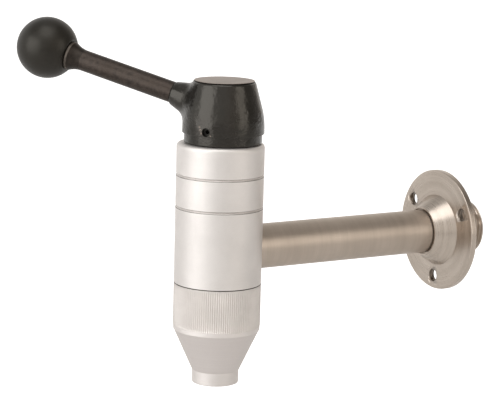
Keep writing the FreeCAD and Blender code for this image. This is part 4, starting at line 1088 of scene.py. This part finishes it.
def soft_box(name, direction, distance, width, height, power, colour=(1, 1, 1)):
    """An area lamp that looks at the middle of the object."""
    data = bpy.data.lights.new(name, "AREA")
    data.shape = "RECTANGLE"
    data.size = width
    data.size_y = height
    data.energy = power
    data.color = colour
    lamp = bpy.data.objects.new(name, data)
    lamp.location = LAMP_TARGET + Vector(direction).normalized() * distance
    lamp.rotation_euler = (LAMP_TARGET - lamp.location).to_track_quat("-Z", "Y").to_euler()
    bpy.context.scene.collection.objects.link(lamp)


def make_floor():
    """Pale matte floor. It glows for the camera, so that it reads as white, and behind the
    object for reflections too; shadows still fall on it."""
    mesh = bpy.data.meshes.new("floor")
    corners = [(x * FLOOR_REACH, y * FLOOR_REACH, FLOOR_HEIGHT)
               for x, y in ((-1, -1), (1, -1), (1, 1), (-1, 1))]
    mesh.from_pydata(corners, [], [(0, 1, 2, 3)])
    floor = bpy.data.objects.new("floor", mesh)
    bpy.context.scene.collection.objects.link(floor)
    surface = Surface("floor", metallic=0.0)
    cloud = surface.stretch(surface.noise(3, 2), 0.3, 0.7, 0, 1)
    surface.finish(surface.blend(cloud, (0.82, 0.82, 0.82, 1), (0.78, 0.78, 0.78, 1)), 0.9)
    surface.shader.inputs["Specular IOR Level"].default_value = 0.0
    path = surface.node("ShaderNodeLightPath")
    backward = surface.measure("DOT_PRODUCT", surface.place, BEHIND)
    behind = surface.stretch(backward, -0.2, 1.2, FLOOR_GLOW_FRONT, FLOOR_GLOW_BEHIND, "SMOOTHSTEP")
    seen = surface.math("MULTIPLY", path.outputs["Is Camera Ray"], FLOOR_GLOW)
    mirrored = surface.math("MAXIMUM", path.outputs["Is Glossy Ray"],
                            path.outputs["Is Transmission Ray"])
    glow = surface.math("ADD", seen, surface.math("MULTIPLY", mirrored, behind))
    surface.feed(surface.shader.inputs["Emission Color"], WHITE)
    surface.feed(surface.shader.inputs["Emission Strength"], glow)
    mesh.materials.append(surface.material)


def make_world():
    """White for the camera. The room around is white behind the object, lighter on its
    left than on its right, and darker overhead."""
    world = bpy.data.worlds.new("studio")
    bpy.context.scene.world = world
    world.use_nodes = True
    world.node_tree.nodes.clear()
    studio = Nodes(world.node_tree)
    place = studio.node("ShaderNodeTexCoord").outputs["Generated"]

    def ramp(direction, low, high, to_low, to_high):
        """A smooth change along a direction, between two places on the unit sphere."""
        return studio.stretch(studio.measure("DOT_PRODUCT", place, direction),
                              low, high, to_low, to_high, "SMOOTHSTEP")

    side = ramp(LEFT, -0.95, -0.2, ROOM_RIGHT, ROOM_LEFT)
    behind = ramp(BEHIND, 0.3, 0.95, 0, ROOM_BEHIND)
    overhead = ramp((0, 0, 1), 0.45, 0.8, 0, ROOM_OVERHEAD)
    level = studio.math("SUBTRACT", studio.math("MAXIMUM", side, behind), overhead)
    colour = studio.blend(ramp(LEFT, -0.7, 0.2, 0, 1), ROOM_RIGHT_COLOUR, ROOM_LEFT_COLOUR)
    room = studio.node("ShaderNodeBackground")
    studio.feed(room.inputs["Color"], colour)
    studio.feed(room.inputs["Strength"], studio.math("MAXIMUM", level, ROOM_LEAST))
    white = studio.node("ShaderNodeBackground")
    studio.feed(white.inputs["Color"], WHITE)
    mix = studio.node("ShaderNodeMixShader")
    studio.feed(mix.inputs[0], studio.node("ShaderNodeLightPath").outputs["Is Camera Ray"])
    studio.feed(mix.inputs[1], room.outputs[0])
    studio.feed(mix.inputs[2], white.outputs[0])
    studio.feed(studio.node("ShaderNodeOutputWorld").inputs[0], mix.outputs[0])


make_camera()
make_floor()
make_world()
soft_box("key", (0.05, -1.0, 0.25), distance=1.1, width=0.95, height=0.9, power=5.0)
soft_box("side", (0.91, 0.42, 0.32), distance=1.1, width=0.5, height=0.75, power=2.0,
         colour=(1, 0.95, 0.89))
soft_box("top", (0.3, -0.3, 1.0), distance=1.2, width=0.9, height=0.9, power=5.0)
bpy.context.scene.view_settings.view_transform = "Standard"
